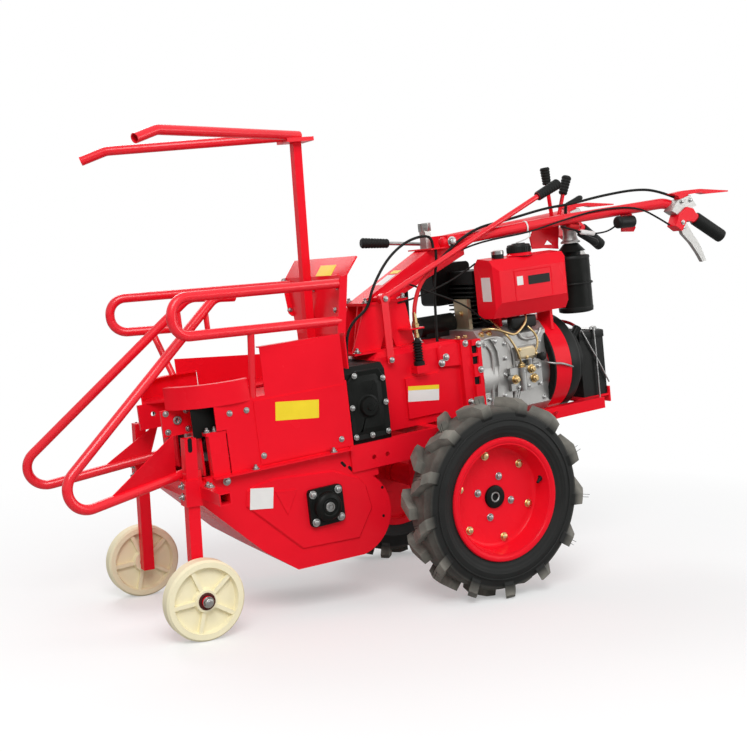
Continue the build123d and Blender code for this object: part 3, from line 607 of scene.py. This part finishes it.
class HARVESTER_OT_header(bpy.types.Operator):
    """Bolts and plates of the header, with painted shade in its leg slots"""

    bl_idname = "harvester.header"
    bl_label = "Header fittings"

    def execute(self, context):
        block = [((x, 98, z), SIDE) for x in (784, 838) for z in (320, 367)]
        panel = facing(SIDE, (703, 185, 352), (657, 185, 352), (401, 187.5, 229), (626, 187.5, 229))
        bolts("panel_bolts", mirrored(block + panel), size=(5.5, 5.0, 8.0))
        bolts("rail_bolts", mirrored(facing(SIDE, (733, 185, 184))), size=(8.0, 6.5, 10.5))
        ledge = facing(UP, (656, 196, 201), (432, 196, 201), (742, 168, 312), (762, 168, 312))
        bolts("ledge_bolts", mirrored(ledge), size=(7.5, 6.5, 10.5, 6.0))
        edge, out = Vector((26, 90, -155)).normalized(), Vector((155, 0, 26)).normalized()
        side, corner = edge.cross(out), Vector((330, -190, 655))
        fold = Matrix((edge, out, side)).transposed().to_4x4()
        fold.translation = corner
        flange = sheet("plate_flange", [(0, -1), (126, -1), (126, 4), (118, 13), (4, 13), (0, 9)], 3.0)
        fit(put(flange, fold), "red_paint")
        plate = [((335.1, 138, 625), out), ((345.3, 131, 564.6), out), ((335.8, 0.5, 621), out)]
        for run in (9, 41, 107):
            middle = corner + edge * run + out * 6.5
            plate += [(middle, -side), (middle + side * 3.0, side)]
        bolts("plate_bolts", plate, size=(5.5, 4.5, 7.5))
        collar = [((851.5, 196, 199), FRONT), ((853.5, 196, 172), FRONT), ((800, 232, 193), UP),
            ((800, 252, 193), UP)]
        bolts("collar_bolts", mirrored(collar[:2]) + collar[2:], size=(7.0, 6.0, 10.0, 5.0))
        # Near-black sheets of painted shade in the slots of the legs
        slots = both(825, 211, 297, -4.4)
        fit(copies(sheet("leg_slot_shade", oblong(11, 36), 0.4, 0.1), slots), *HOLE_SHADE)
        lathe("block_bearings", [(6, -3), (6, 2.5), (7, 4), (10, 4), (11.5, 2.5), (11.5, -3)], 28, both(810, 98, 346),
            "bare_steel")
        return {"FINISHED"}


class HARVESTER_OT_chopper(bpy.types.Operator):
    """Bearings, pressing and bolts of the chopper case"""

    bl_idname = "harvester.chopper"
    bl_label = "Chopper fittings"

    def execute(self, context):
        rotor = LEVEL @ Vector(JOINTS["rotor_turn"]["pos_m"])
        x, z, out = rotor.x, rotor.z, 190.0
        corner = [((x + i * 37, out + 12, z + j * 37), SIDE) for i in SIDES for j in SIDES]
        bolts("bearing_bolts", mirrored(corner), size=(7.5, 6.0, 11.0))
        lathe("bearing_domes", [(21, 24), (21, 31), (24, 32.5), (31, 31), (36, 27), (39.5, 20), (40, 12), (46, 11.5),
            (46, 9)], 40, both(x, out, z), "black_paint")
        lathe("shaft_ends", [(0, 33.5), (4, 33.5), (5, 31), (8, 31), (9, 33.2), (12, 33.2), (13, 32), (13, 24),
            (0, 24)], 28, both(x, out, z), "bare_steel", body="rotor")
        lathe("shaft_collars", [(13.4, 24), (13.4, 31), (14.5, 32), (19, 32), (20.4, 30.8), (20.4, 24)], 28,
            both(x, out, z), "black_paint", body="rotor")
        relief = [(-610, 133), (-548, 125), (-582, 63)]
        middle = (-580, 107)
        rim = sheet("case_relief", [(u - middle[0], v - middle[1]) for u, v in relief], 2.4, 1.1)
        pressed(rim, (7, -1.4))
        fit(put(rim, spot((-middle[0], out, middle[1]), SIDE)), "red_paint")
        # Near-black sheets of painted shade in the slots and round openings of the case side
        slit_shade = sheet("case_slot_shade", oblong(8, 20), 0.5, 0.1)
        slit_shade = copies(slit_shade, both(403, 185, 161, 40) + both(383, 185, 145, 40))
        hole_shade = sheet("case_hole_shade", oblong(8, 8.2), 0.5, 0.1)
        hole_shade = copies(hole_shade, both(294, 185, 75) + both(300, 185, -3))
        fit(joined("case_slot_shade", [slit_shade, hole_shade]), *HOLE_SHADE)
        return {"FINISHED"}


class HARVESTER_OT_gear_side(bpy.types.Operator):
    """Cast covers with bolts on the header gear case"""

    bl_idname = "harvester.gear_side"
    bl_label = "Gear case covers"

    def execute(self, context):
        edge = [(-56, -92), (56, -92), (60, -60), (60, 60), (40, 96), (-30, 96), (-60, 70), (-60, -70)]
        cover = sheet("gear_covers", edge, 8.0, 2.0)
        pressed(cover, (13, -3.5), (16, 5.0))
        x, z = 302, 303
        fit(copies(soften(cover, 1.2, 2), both(x, 172, z)), "black_paint")
        lathe("gear_bosses", [(0, 20), (9, 20), (11, 17), (24, 16), (27, 12), (28, 5), (34, 3), (34, 0), (0, 0)], 32,
            both(306, 178, 300), "black_paint")
        ring = [(-50, -80), (50, -80), (-52, 0), (52, 0), (-50, 66), (36, 84), (0, -82)]
        bolts("gear_bolts", mirrored([((x + u, 180, z + v), SIDE) for u, v in ring]), size=(5.5, 5.0, 8.0))
        return {"FINISHED"}


class HARVESTER_OT_labels(bpy.types.Operator):
    """Plain stickers without any print"""

    bl_idname = "harvester.labels"
    bl_label = "Blank labels"

    def execute(self, context):
        sticker("cover_label", (518, 187.5, 328), SIDE, (124, 48), -6.7, "blank_yellow")
        sticker("case_label", (648, 190.4, 122), SIDE, (64, 54), -9, "blank_white")
        sticker("box_label_low", (76, 94, 284), SIDE, (104, 32), -6.7, "blank_white")
        sticker("box_label_high", (73.5, 94, 306), SIDE, (104, 12), -6.7, "blank_yellow")
        sticker("flare_label", (319.3, 52, 669), (0.79, 0, 0.61), (92, 34), 0, "blank_yellow")
        sticker("neck_label", (110, 6, 619.1), (0.457, 0, 0.889), (44, 52), 0, "blank_white")
        sticker("neck_strip", (72.7, 6, 638.3), (0.457, 0, 0.889), (44, 16), 0, "blank_yellow")
        return {"FINISHED"}


class HARVESTER_OT_column(bpy.types.Operator):
    """Bolts and fittings of the column, stand and clutch link"""

    bl_idname = "harvester.column"
    bl_label = "Column fittings"

    def execute(self, context):
        stand = [((x, y, 565), UP) for x in (206, 84) for y in (-48, 48)]
        foot = [((x, y, 431), UP) for x in (50, 256) for y in (-61, 61)]
        bolts("stand_bolts", stand + foot, size=(8.0, 7.0, 12.0, 7.0))
        bolts("yoke_bolts", mirrored(facing(SIDE, (-92, 66, 707))), size=(11.0, 9.0, 15.0))
        crown = disc("nut_crown", 19.05, 25.0, 6)
        pressed(crown, (7.5, -3.0))
        fit(put(soften(crown, 0.8, 1), Matrix.Translation((-45, 0, 743.5))), "bright_chrome")
        ends = [spot((-70, s * 45, 706), (399, -s * 55, -26)) for s in SIDES]
        lathe("bar_plugs", [(0, 6), (8, 5.4), (13, 3.4), (15.8, 0), (15.8, -8), (0, -8)], 28, ends, "red_paint")
        bolts("link_bolts", facing(SIDE, (172, 104, 573), (174, 106, 402)), size=(6.0, 5.0, 8.0))
        tab = sheet("cable_tab", [(66, 52), (114, 52), (114, 98), (106, 114), (62, 114), (56, 98)], 4.0, 0.8)
        fit(put(tab, Matrix.Translation((0, 0, 476))), "red_paint")
        lathe("cable_nut", [(4.5, -26), (8.5, -26), (8.5, -15), (6.5, -13), (6.5, 2), (11.5, 3), (11.5, 13), (8, 15),
            (7, 34), (6.4, 46), (4.5, 46)], 6, spot((85, 104, 478)), *BRASS)
        folds = [(0, 0), (15.5, 0), (15.5, 11), (12.6, 12)]
        pleats, pitch = 7, 8
        for i in range(pleats):
            folds += [(9.4, 14 + pitch * i), (13.6, 17 + pitch * i), (13.6, 19 + pitch * i)]
        folds += [(9, 70), (6, 74), (5.2, 84), (5.2, 126), (0, 126)]
        boot = put(turned("clutch_boot", folds, 28), spot((85, 104, 373)))
        lead = bent_rod("clutch_lead", [(85, 104, 494), (83, 104, 540), (42, 78, 596), (-30, 70, 654),
            (-154, 75, 735), (-286, 76, 750), (-422, 94, 773), (-500, 116, 776), (-590, 152, 791), (-690, 198, 799),
            (-748, 230, 788), (-790, 256, 762)], 4.0)
        lead = fit(joined("clutch_lead", [lead, boot]), "grip_rubber")
        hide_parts("clutch_cable")
        rods("clutch_sheath", [(6.2, [(84, 104, 520), (83, 104, 540), (42, 78, 596), (0, 73, 630), (-30, 70, 654)])],
            "red_paint", "red_sheath")
        loop = (4.0, [(291, 62, 406), (291, 62, 470), (262, 62, 520), (207, 62, 550), (187, 62, 606), (128, 62, 682),
            (59, 62, 724), (-8, 60, 734), (-32, 58, 718), (-30, 58, 693)])
        drop = (4.0, [(-40, 56, 692), (-40, 56, 660), (-24, 56, 600), (-15, 56, 490), (-13, 56, 424)])
        shift = rods("shift_leads", [loop, drop], "grip_rubber")
        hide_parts("control_cables")
        short = (2.6, [(104, 51, 552), (78, 58, 556), (52, 61, 560), (-1, 63, 573), (-72, 64, 593), (-144, 62, 622),
            (-171, 58, 634)])
        engine = (2.6, [(66, 37, 605), (52, 56, 598), (12, 72, 573), (-52, 78, 547), (-117, 79, 512), (-165, 80, 468),
            (-196, 82, 452), (-214, 84, 438)])
        grip = (2.8, [(-140, 36, 678), (-170, 56, 690), (-235, 86, 700), (-314, 99, 705), (-369, 106, 712),
            (-425, 114, 723), (-502, 135, 739), (-561, 162, 749), (-634, 195, 750), (-684, 217, 740),
            (-724, 235, 714), (-766, 253, 680)])
        down = (6.0, [(40, 0, 592), (43, 2, 550), (47, 0, 480), (50, 0, 424)])
        rods("thin_leads", [short, engine, grip, down], "grip_rubber")
        fit(bent_rod("lock_rod", [(-52, -37, 708.6), (56, -51.8, 721.8)], 5.7, False), *ZINC)
        return {"FINISHED"}


def knob(name, start, end, radius):
    """Rounded handle that swells from its start to its end."""
    length = (Vector(end) - Vector(start)).length
    shape = [(0.0, 0.0), (0.5, 0.0), (0.6, 0.1), (0.8, 0.55), (1.0, 0.8), (0.96, 0.9), (0.7, 0.98), (0.0, 1.0)]
    return along(turned(name, [(r * radius, z * length) for r, z in shape], 24), start, end)


class HARVESTER_OT_engine(bpy.types.Operator):
    """Pipes, covers, pump and bolts of the engine"""

    bl_idname = "harvester.engine"
    bl_label = "Engine fittings"

    def execute(self, context):
        arch = [(-171, 404), (-205, 392), (-203, 350), (-200, 300), (-190, 240), (-190, 212)]
        bolts("arch_bolts", [((x, 118, z), SIDE) for x, z in arch], size=(6.0, 5.0, 8.5))
        front = [(-140, 396), (-150, 300), (-138, 236), (-334, 300), (-340, 210), (-340, 380)]
        bolts("case_side_bolts", [((x, 110, z), SIDE) for x, z in front], size=(5.0, 4.5, 7.5))
        slope = (0, 0.7, 0.7)
        flange = [((-140, 97, 427), slope), ((-168, 97, 427), slope), ((-74, 72, 425), UP), ((-100, 72, 424), UP)]
        bolts("flange_bolts", flange, *BRASS, size=(7.0, 7.0, 9.5))
        rear = [(-140, 106, 412), (-180, 112, 420), (-222, 114, 396), (-238, 114, 350), (-234, 113, 290),
            (-228, 112, 220)]
        port = [(-262, 111, 420), (-268, 113, 400), (-300, 114, 392), (-340, 113, 398), (-348, 111, 420)]
        fore = [(-136, 110, 404), (-158, 112, 384), (-164, 112, 340), (-152, 112, 262), (-148, 111, 210)]
        rods("case_ribs", [(5.0, path) for path in (rear, port, fore)], "cast_aluminium")
        cover = sheet("crank_cover", [(142, 190), (338, 190), (346, 240), (346, 370), (318, 418), (190, 418),
            (142, 380)], 9.0, 2.5)
        pressed(cover, (16, -3.0), (22, 6.0))
        edit(put(soften(cover, 1.5, 2), Matrix(((-1, 0, 0, 0), (0, 0, -1, -109), (0, 1, 0, 0), (0, 0, 0, 1)))))
        outward()
        fit(cover, "cast_aluminium")
        edge = [(-152, 200), (-240, 198), (-330, 200), (-338, 305), (-312, 408), (-252, 410), (-192, 410),
            (-150, 372), (-150, 286)]
        bolts("crank_bolts", [((x, -118, z), (0, -1, 0)) for x, z in edge], size=(6.0, 5.0, 8.5))
        feed = (4.2, [(-150, 92, 440), (-168, 118, 444), (-212, 127, 424), (-236, 129, 414), (-260, 128, 426),
            (-293, 122, 452), (-300, 104, 472)])
        spill = (3.4, [(-287, 122, 332), (-300, 137, 345), (-318, 136, 392), (-300, 122, 430), (-272, 76, 470)])
        leak = (3.4, [(-250, 132, 314), (-246, 138, 334), (-226, 136, 390), (-204, 120, 430), (-196, 60, 470)])
        rods("fuel_pipes", [feed, spill, leak], *BRASS)
        plate = sheet("governor_plate", [(-34, -16), (30, -18), (36, 4), (20, 18), (-36, 17)], 4.0, 1.0)
        pressed(plate, (5, 2.5))
        fit(put(plate, spot((-275, 130, 357), SIDE)), "gold_plate")
        bolts("governor_bolts", [((x, 133, z), SIDE) for x, z in ((-246, 368), (-304, 350), (-270, 344))], *BRASS,
            size=(5.0, 5.0, 7.0))
        fit(knob("governor_knob", (-318, 118, 340), (-322, 150, 338), 13), "black_plastic")
        nuts = [((-250, 132, 316), UP), ((-213, 146, 286), SIDE), ((-284, 132, 306), SIDE), ((-292, 132, 277), SIDE)]
        bolts("pump_nuts", nuts, *BRASS, size=(11.0, 10.0, 14.0, 6.0))
        low = facing(SIDE, (-268, 132, 258), (-232, 132, 258), (-312, 132, 310), (-312, 132, 258))
        bolts("pump_bolts", low, size=(5.5, 5.0, 8.0))
        bolts("regulator_bolt", facing(FRONT, (-153, -14, 487)), *BRASS, size=(6.0, 6.0, 9.0))
        crank, radius = 300, 126
        lathe("shroud_gasket", [(126, 0), (150.6, 0), (151, 1), (151, 6), (150.6, 7), (126, 7)], 64,
            spot((-365, 0, crank), FRONT), "black_paint")
        lathe("recoil_guard", [(118, 0), (150.4, 0), (151.2, 1), (151.2, 30), (146, 38), (118, 38)], 64,
            spot((-424, 0, crank), BACK), "black_plastic")
        intake = soften(slab("intake_block", (92, 30, 36)), 7.0, 3)
        fit(put(intake, Matrix.Translation((-286, 104, 428))), "black_plastic")
        rods("speed_lever", [(3.2, [(-340, 132, 318), (-352, 154, 312), (-378, 158, 310), (-415, 154, 296),
            (-456, 138, 280)])], "bare_steel")
        lathe("recoil_ring", [(105, 0), (105, 5), (107, 6), (112.5, 5), (114, 2), (114, -10), (112, -10)], 64,
            spot((-495, 0, crank), BACK), "black_plastic")
        turns = [radians(a) for a in (20, 92, 164, 236, 308)]
        ears = facing(BACK, *[(-461, radius * cos(a), crank + radius * sin(a)) for a in turns])
        bolts("recoil_bolts", ears, size=(6.0, 5.0, 9.0))
        hump = sheet("box_hump", [(-14, 352), (66, 346), (66, 408), (52, 421), (4, 423), (-14, 412)], 11.0, 5.0)
        fit(put(hump, spot((0, 85, 0), SIDE)), "red_paint")
        bolts("hump_bolts", facing(SIDE, (-11, 96, 381), (5, 96, 366)), size=(8.0, 6.5, 11.0))
        # Near-black sheets of painted shade in the slots of the bell
        slots = [spot((-101, 110, z), SIDE) for z in (391, 359, 299)]
        fit(copies(sheet("bell_slot_shade", rectangle(16, 22), 0.4, 0.1), slots), *HOLE_SHADE)
        bell = facing(SIDE, (-76, 105, 412), (-76, 105, 240), (-114, 116, 405), (-114, 116, 330), (-114, 116, 210))
        bolts("bell_bolts", mirrored(bell), size=(7.0, 6.0, 10.0))
        return {"FINISHED"}


class HARVESTER_OT_battery(bpy.types.Operator):
    """Lid, terminals, leads and hold-down rods of the battery"""

    bl_idname = "harvester.battery"
    bl_label = "Battery fittings"

    def execute(self, context):
        lid = slab("battery_lid", (102, 178, 22))
        pressed(lid, (10, 4))
        fit(put(soften(lid, 2.0), spot((-582, -24, 352))), "black_plastic")
        ends = ((-590, 71), (-590, -117))
        hooks = [[(x, y, 150), (x, y, 384), (x + 8, y, 392), (x + 18, y, 386)] for x, y in ends]
        stays = [bent_rod("battery_rods", hook, 3.0) for hook in hooks]
        stays.append(bent_rod("battery_rods", [(-590, -117, 380), (-590, 71, 380)], 4.0, False))
        stays.append(bent_rod("battery_rods", [(-540, 68, 384), (-600, 70, 274), (-634, 70, 206)], 2.6, False))
        fit(joined("battery_rods", stays), *ZINC)
        bolts("battery_nuts", facing(UP, (-590, 71, 384), (-590, -117, 384)), size=(6.5, 6.0, 9.0))
        lathe("battery_posts", [(0, 14), (7, 14), (8, 12), (9, 0), (0, 0)], 20,
            [spot((-556, y, 376)) for y in (30, -80)], "bare_steel")
        rods("battery_lead", [(5.0, [(-556, 30, 388), (-540, 24, 410), (-500, -40, 420), (-420, -90, 440),
            (-150, -80, 462)])], "red_paint", "red_sheath")
        rods("earth_lead", [(5.0, [(-556, -80, 388), (-540, -90, 404), (-500, -120, 380), (-400, -118, 360)])],
            "black_plastic")
        return {"FINISHED"}


class HARVESTER_OT_tank(bpy.types.Operator):
    """Raised panel, cap and gauge of the tank, and the air cleaner's fittings"""

    bl_idname = "harvester.tank"
    bl_label = "Tank fittings"

    def execute(self, context):
        panel = sheet("tank_panel", rectangle(138, 88), 2.0, 0.8)
        pressed(panel, (2.5, -1.2))
        fit(put(panel, spot((-304, 155, 558), SIDE)), "red_paint")
        sticker("tank_label_dark", (-325, 156, 570), SIDE, (80, 26), 0, "black_plastic")
        sticker("tank_label_pale", (-255, 156, 572), SIDE, (22, 26), 0, "blank_white")
        sticker("tank_label_end", (-170, 104, 556), FRONT, (44, 70), 0, "blank_white")
        crown = turned("cap_crown", [(0, 7), (19, 7), (21, 4), (28, 4), (32.5, 3), (34.5, 0), (35, -4), (35, -20),
            (33, -22)], 48)
        count, radius = 30, 35
        turns = [2 * pi * i / count for i in range(count)]
        places = [spot((radius * cos(a), radius * sin(a), -20), UP, degrees(a)) for a in turns]
        teeth = copies(soften(slab("cap_grip", (3.2, 2.4, 16)), 0.6, 1), places)
        crown = joined("cap_crown", [crown, teeth])
        fit(put(crown, spot((-303, 100, 672))), "black_plastic")
        lathe("filler_neck", [(33, 0), (40, 0), (40, 3), (36.5, 6), (36.5, 9), (33, 9)], 40, spot((-303, 100, 642)),
            "red_paint")
        lathe("gauge_glass", [(0, 5), (10, 4.5), (14, 3), (15.5, 0), (0, 0)], 32, spot((-224, 100, 662)), *WHITE)
        lathe("gauge_ring", [(15, -8), (18.6, -8), (18.6, 1), (17, 2.5), (15.4, 2)], 32, spot((-224, 100, 662)),
            *ZINC)
        x, y = -533, 62
        lathe("cleaner_bowl", [(0, -3), (44, -3), (50, -1), (53, 3), (53.8, 8), (53.8, 14), (53, 15)], 48,
            spot((x, y, 446)), "black_plastic")
        lathe("cleaner_lip", [(52, -8), (53.8, -7), (54, -2), (52, 2), (46, 3), (30, 3)], 48, spot((x, y, 616)),
            "black_plastic")
        lathe("cleaner_band", [(52, -2.5), (57.5, -2.5), (58.5, -1), (58.5, 1), (57.5, 2.5), (52, 2.5)], 48,
            spot((x, y, 533)), "black_plastic")
        lathe("cleaner_elbow", [(20, 0), (30, 0), (30, 5), (24, 9), (21, 20), (20.5, 40), (26, 50), (26, 56),
            (20, 56)], 36, spot((x, y, 658)), "cast_aluminium")
        return {"FINISHED"}


class HARVESTER_OT_bars(bpy.types.Operator):
    """Ribbed handles, ties, wiring and pins on the handlebars"""

    bl_idname = "harvester.bars"
    bl_label = "Handlebar fittings"

    def execute(self, context):
        def sleeve(name, start, end, radius, count, *shape):
            fit(ribs(name, start, end, radius, count, *shape), "grip_rubber")

        sleeve("clutch_sleeve", (-400, 88, 810), (-482, 88, 842), 13, 9)
        sleeve("shift_sleeve_low", (-515, -4, 846), (-511, -4, 896), 12, 6)
        sleeve("shift_sleeve_high", (-551, 24, 811), (-573, 24, 862), 12, 6)
        sleeve("lock_sleeve", (54, -51.5, 721.5), (135, -62, 731), 12, 9)
        for side, s in PAIR:
            sleeve(side + "_grip_ribs", (-862, s * 264.8, 690.3), (-950, s * 278.6, 628.2), 20, 16, 0.0, 0.5)
        pins = facing(SIDE, (-800, 276, 746), (-836, 276, 748), (-792, 282, 684), (-800, 275, 668))
        bolts("lever_pins", mirrored(pins), size=(5.5, 5.0, 7.5))
        gate = [((x, y, 730), UP) for x in (-440, -526) for y in (-60, 60)]
        bolts("gate_bolts", gate, size=(6.0, 5.0, 9.0))
        clamp = Vector((-70, 45, 706))
        bar = (Vector((-469, 100, 732)) - clamp).normalized()
        tie = turned("cable_tie", [(16.5, -2.4), (18, -2.4), (18, 2.4), (16.5, 2.4), (16.5, -2.4)], 28)
        put(tie, spot(clamp + bar * 280, bar))
        tail = bent_rod("cable_tie", [(-346, 98, 712), (-352, 104, 700), (-340, 98, 688), (-306, 86, 680)], 1.8)
        fit(joined("cable_tie", [tie, tail]), *WHITE)
        plug = along(turned("plug", [(0, 0), (6, 0), (7.5, 2), (7.5, 26), (6, 28), (7, 30), (7, 52), (0, 54)], 12),
            (-519, 130, 690), (-572, 130, 680))
        fit(plug, *WHITE)
        near = (2.6, [(-572, 130, 680), (-586, 146, 679), (-602, 174, 686), (-607, 196, 700)])
        far = (3.0, [(-519, 130, 690), (-498, 122, 700), (-470, 100, 712)])
        rods("switch_leads", [near, far], "black_plastic")
        stalk = bent_rod("stop_knob", [(-500, 106, 722), (-512, 107, 706), (-534, 109, 682)], 4.0)
        fit(joined("stop_knob", [knob("stop_knob", (-528, 109, 684), (-599, 110, 648), 12), stalk]), "black_plastic")
        fit(knob("throttle_knob", (-504, 90, 776), (-569, 90, 794), 9), "black_plastic")
        stems = [(6.4, [(-523.9, -4, 731), (-514.2, -4, 847)]), (6.4, [(-523.3, 24, 731), (-552.6, 24, 813)])]
        rods("shift_rods", stems, "red_paint", smooth=False)
        plates = ([(-393, 690), (-399, 654), (-447, 652), (-447, 662), (-461, 677), (-440, 724.5), (-420, 724.5)],
            [(-446, 652), (-501, 644), (-501, 659), (-446, 662)],
            [(-460, 676), (-482, 658), (-501, 658), (-512, 724.5), (-439, 724.5)])
        webs = [sheet("gate_bracket", [(-u, v) for u, v in edge], 5.0, 0.6) for edge in plates]
        fit(put(joined("gate_bracket", webs), spot((0, 38, 0), SIDE)), "red_paint")
        rods("throttle_post", [(5.0, [(-500, 90, 730), (-500, 90, 762), (-506, 90, 777)])], "black_paint")
        cup = [(0, 0), (9, 0), (13, 4), (13, 34), (10, 38), (5, 40), (5, 48), (0, 48)]
        cup = turned("fuel_filter", cup, 24)
        fit(along(cup, (-494, 104, 712), (-542, 106, 704)), "red_paint", "red_sheath")
        lathe("switch_cap", [(0, 4), (12, 4), (16, 2), (18.6, -2), (18.6, -10), (17, -10)], 32,
            spot((-606, 199, 706), FRONT), "black_plastic")
        return {"FINISHED"}


class HARVESTER_OT_tyre_hairs(bpy.types.Operator):
    """Thin moulding hairs on the new tyres"""

    bl_idname = "harvester.tyre_hairs"
    bl_label = "Tyre hairs"

    def execute(self, context):
        length, lugs, first, twin = sizes().hair, 13, -87.5, 1.8
        tread, shoulder, stem = 258, 325, 14
        for side, s in PAIR:
            made = []
            for i in range(2 * lugs):
                turn = radians(first - (i // 2) * 360 / lugs + twin * (i % 2))
                if sin(turn) < -0.8:
                    continue
                out = Vector((cos(turn), 0, sin(turn)))
                foot = out * tread + Vector((0, s * (shoulder - 4 * (i % 3)), 0))
                lean = out + Vector((0.25 * sin(5 * turn), s * 0.3, 0.25 * cos(7 * turn)))
                root = foot + out * stem
                path = [foot, root, root + lean * length * 0.5, root + lean * length]
                made.append(bent_rod(side + "_hairs", path, 0.65))
            fit(joined(side + "_hairs", made), "tyre_rubber", "grip_rubber", side + "_wheel")
        return {"FINISHED"}


class HARVESTER_OT_stage(bpy.types.Operator):
    """Floor, soft studio light and the view"""

    bl_idname = "harvester.stage"
    bl_label = "Stage"

    def execute(self, context):
        scene = context.scene
        clear()
        bpy.ops.mesh.primitive_circle_add(vertices=96, radius=40, fill_type="NGON")
        floor = added("floor")
        material, tree, shader, place = fresh("pale_floor")
        shader.inputs["Roughness"].default_value = 0.9
        shader.inputs["Specular IOR Level"].default_value = 0.1
        reach = wire(tree, "ShaderNodeVectorMath", operation="LENGTH")
        tree.links.new(place, reach.inputs[0])
        sight = wire(tree, "ShaderNodeLightPath").outputs["Is Camera Ray"]
        tree.links.new(mixed(tree, sight, (0.5, 0.5, 0.5), (0.95, 0.95, 0.95)), shader.inputs["Base Color"])
        far = span(tree, reach.outputs["Value"], 0.35, 1, 0.8, 2.4)
        glow = wire(tree, "ShaderNodeEmission")
        blend = wire(tree, "ShaderNodeMixShader")
        tree.links.new(maths(tree, "MULTIPLY", far, sight), blend.inputs[0])
        tree.links.new(shader.outputs[0], blend.inputs[1])
        tree.links.new(glow.outputs[0], blend.inputs[2])
        tree.links.new(blend.outputs[0], tree.nodes["Material Output"].inputs["Surface"])
        floor.data.materials.append(material)

        ambient = 0.44
        world = bpy.data.worlds.new("studio")
        scene.world = world
        world.use_nodes = True
        tree = world.node_tree
        back = tree.nodes["Background"]
        back.inputs["Color"].default_value = (1, 1, 1, 1)
        path = wire(tree, "ShaderNodeLightPath")
        seen = maths(tree, "MAXIMUM", path.outputs["Is Camera Ray"], path.outputs["Is Transmission Ray"])
        shine = maths(tree, "MAXIMUM", seen, path.outputs["Is Glossy Ray"])
        tree.links.new(span(tree, shine, ambient, 1.0, 0, 1), back.inputs["Strength"])

        def lamp(name, place, aim, size, power):
            data = bpy.data.lights.new(name, "AREA")
            data.shape = "DISK"
            data.size = size
            data.energy = power
            light = linked(name, data)
            light.location = place
            light.rotation_euler = (Vector(aim) - Vector(place)).to_track_quat("-Z", "Y").to_euler()

        lamp("key", (1.7, 3.0, 3.3), (0, 0, 0.45), 2.4, 116)
        lamp("fill", (-2.8, 2.6, 1.6), (0, 0, 0.6), 2.2, 34)
        lamp("rim", (0.4, -3.0, 3.2), (0, 0, 0.5), 2.2, 56)

        stand, (yaw, pitch, roll) = (1.7701 + AXLE.x, 2.72552, 0.82571), (-2.088, 0.07, -0.009)
        ahead = Vector((cos(pitch) * cos(yaw), cos(pitch) * sin(yaw), -sin(pitch)))
        right = ahead.cross(Vector(UP)).normalized()
        up = right.cross(ahead)
        c, s = cos(roll), sin(roll)
        axes = (c * right + s * up, c * up - s * right, -ahead)
        data = bpy.data.cameras.new("view")
        data.lens = sizes().lens
        data.sensor_width = 36
        data.clip_end = 100
        camera = linked("view", data)
        turn = Matrix(axes).transposed().to_4x4()
        camera.matrix_world = Matrix.Translation(stand) @ turn
        scene.camera = camera
        scene.view_settings.view_transform = "Standard"
        return {"FINISHED"}


class HARVESTER_PT_panel(bpy.types.Panel):
    """Steps that dress the machine"""

    bl_label = "Harvester"
    bl_space_type = "VIEW_3D"
    bl_region_type = "UI"
    bl_category = "Harvester"

    def draw(self, context):
        for step in STEPS:
            self.layout.operator(step.bl_idname)
        for group in (context.scene.harvester_paints, context.scene.harvester_sizes):
            for key in group.__annotations__:
                self.layout.prop(group, key)


STEPS = (HARVESTER_OT_paint, HARVESTER_OT_wheels, HARVESTER_OT_casters, HARVESTER_OT_header, HARVESTER_OT_chopper,
    HARVESTER_OT_gear_side, HARVESTER_OT_labels, HARVESTER_OT_column, HARVESTER_OT_engine, HARVESTER_OT_battery,
    HARVESTER_OT_tank, HARVESTER_OT_bars, HARVESTER_OT_tyre_hairs, HARVESTER_OT_stage)
CLASSES = (HarvesterPaints, HarvesterSizes, *STEPS, HARVESTER_PT_panel)


def register():
    """Adds the steps, the panel and its settings to Blender."""
    for item in CLASSES:
        bpy.utils.register_class(item)
    bpy.types.Scene.harvester_paints = bpy.props.PointerProperty(type=HarvesterPaints)
    bpy.types.Scene.harvester_sizes = bpy.props.PointerProperty(type=HarvesterSizes)


def unregister():
    """Takes them out again."""
    del bpy.types.Scene.harvester_sizes
    del bpy.types.Scene.harvester_paints
    for item in reversed(CLASSES):
        bpy.utils.unregister_class(item)


def main():
    """Runs every step."""
    register()
    for step in STEPS:
        group, name = step.bl_idname.split(".")
        getattr(getattr(bpy.ops, group), name)()


if __name__ == "__main__":
    main()
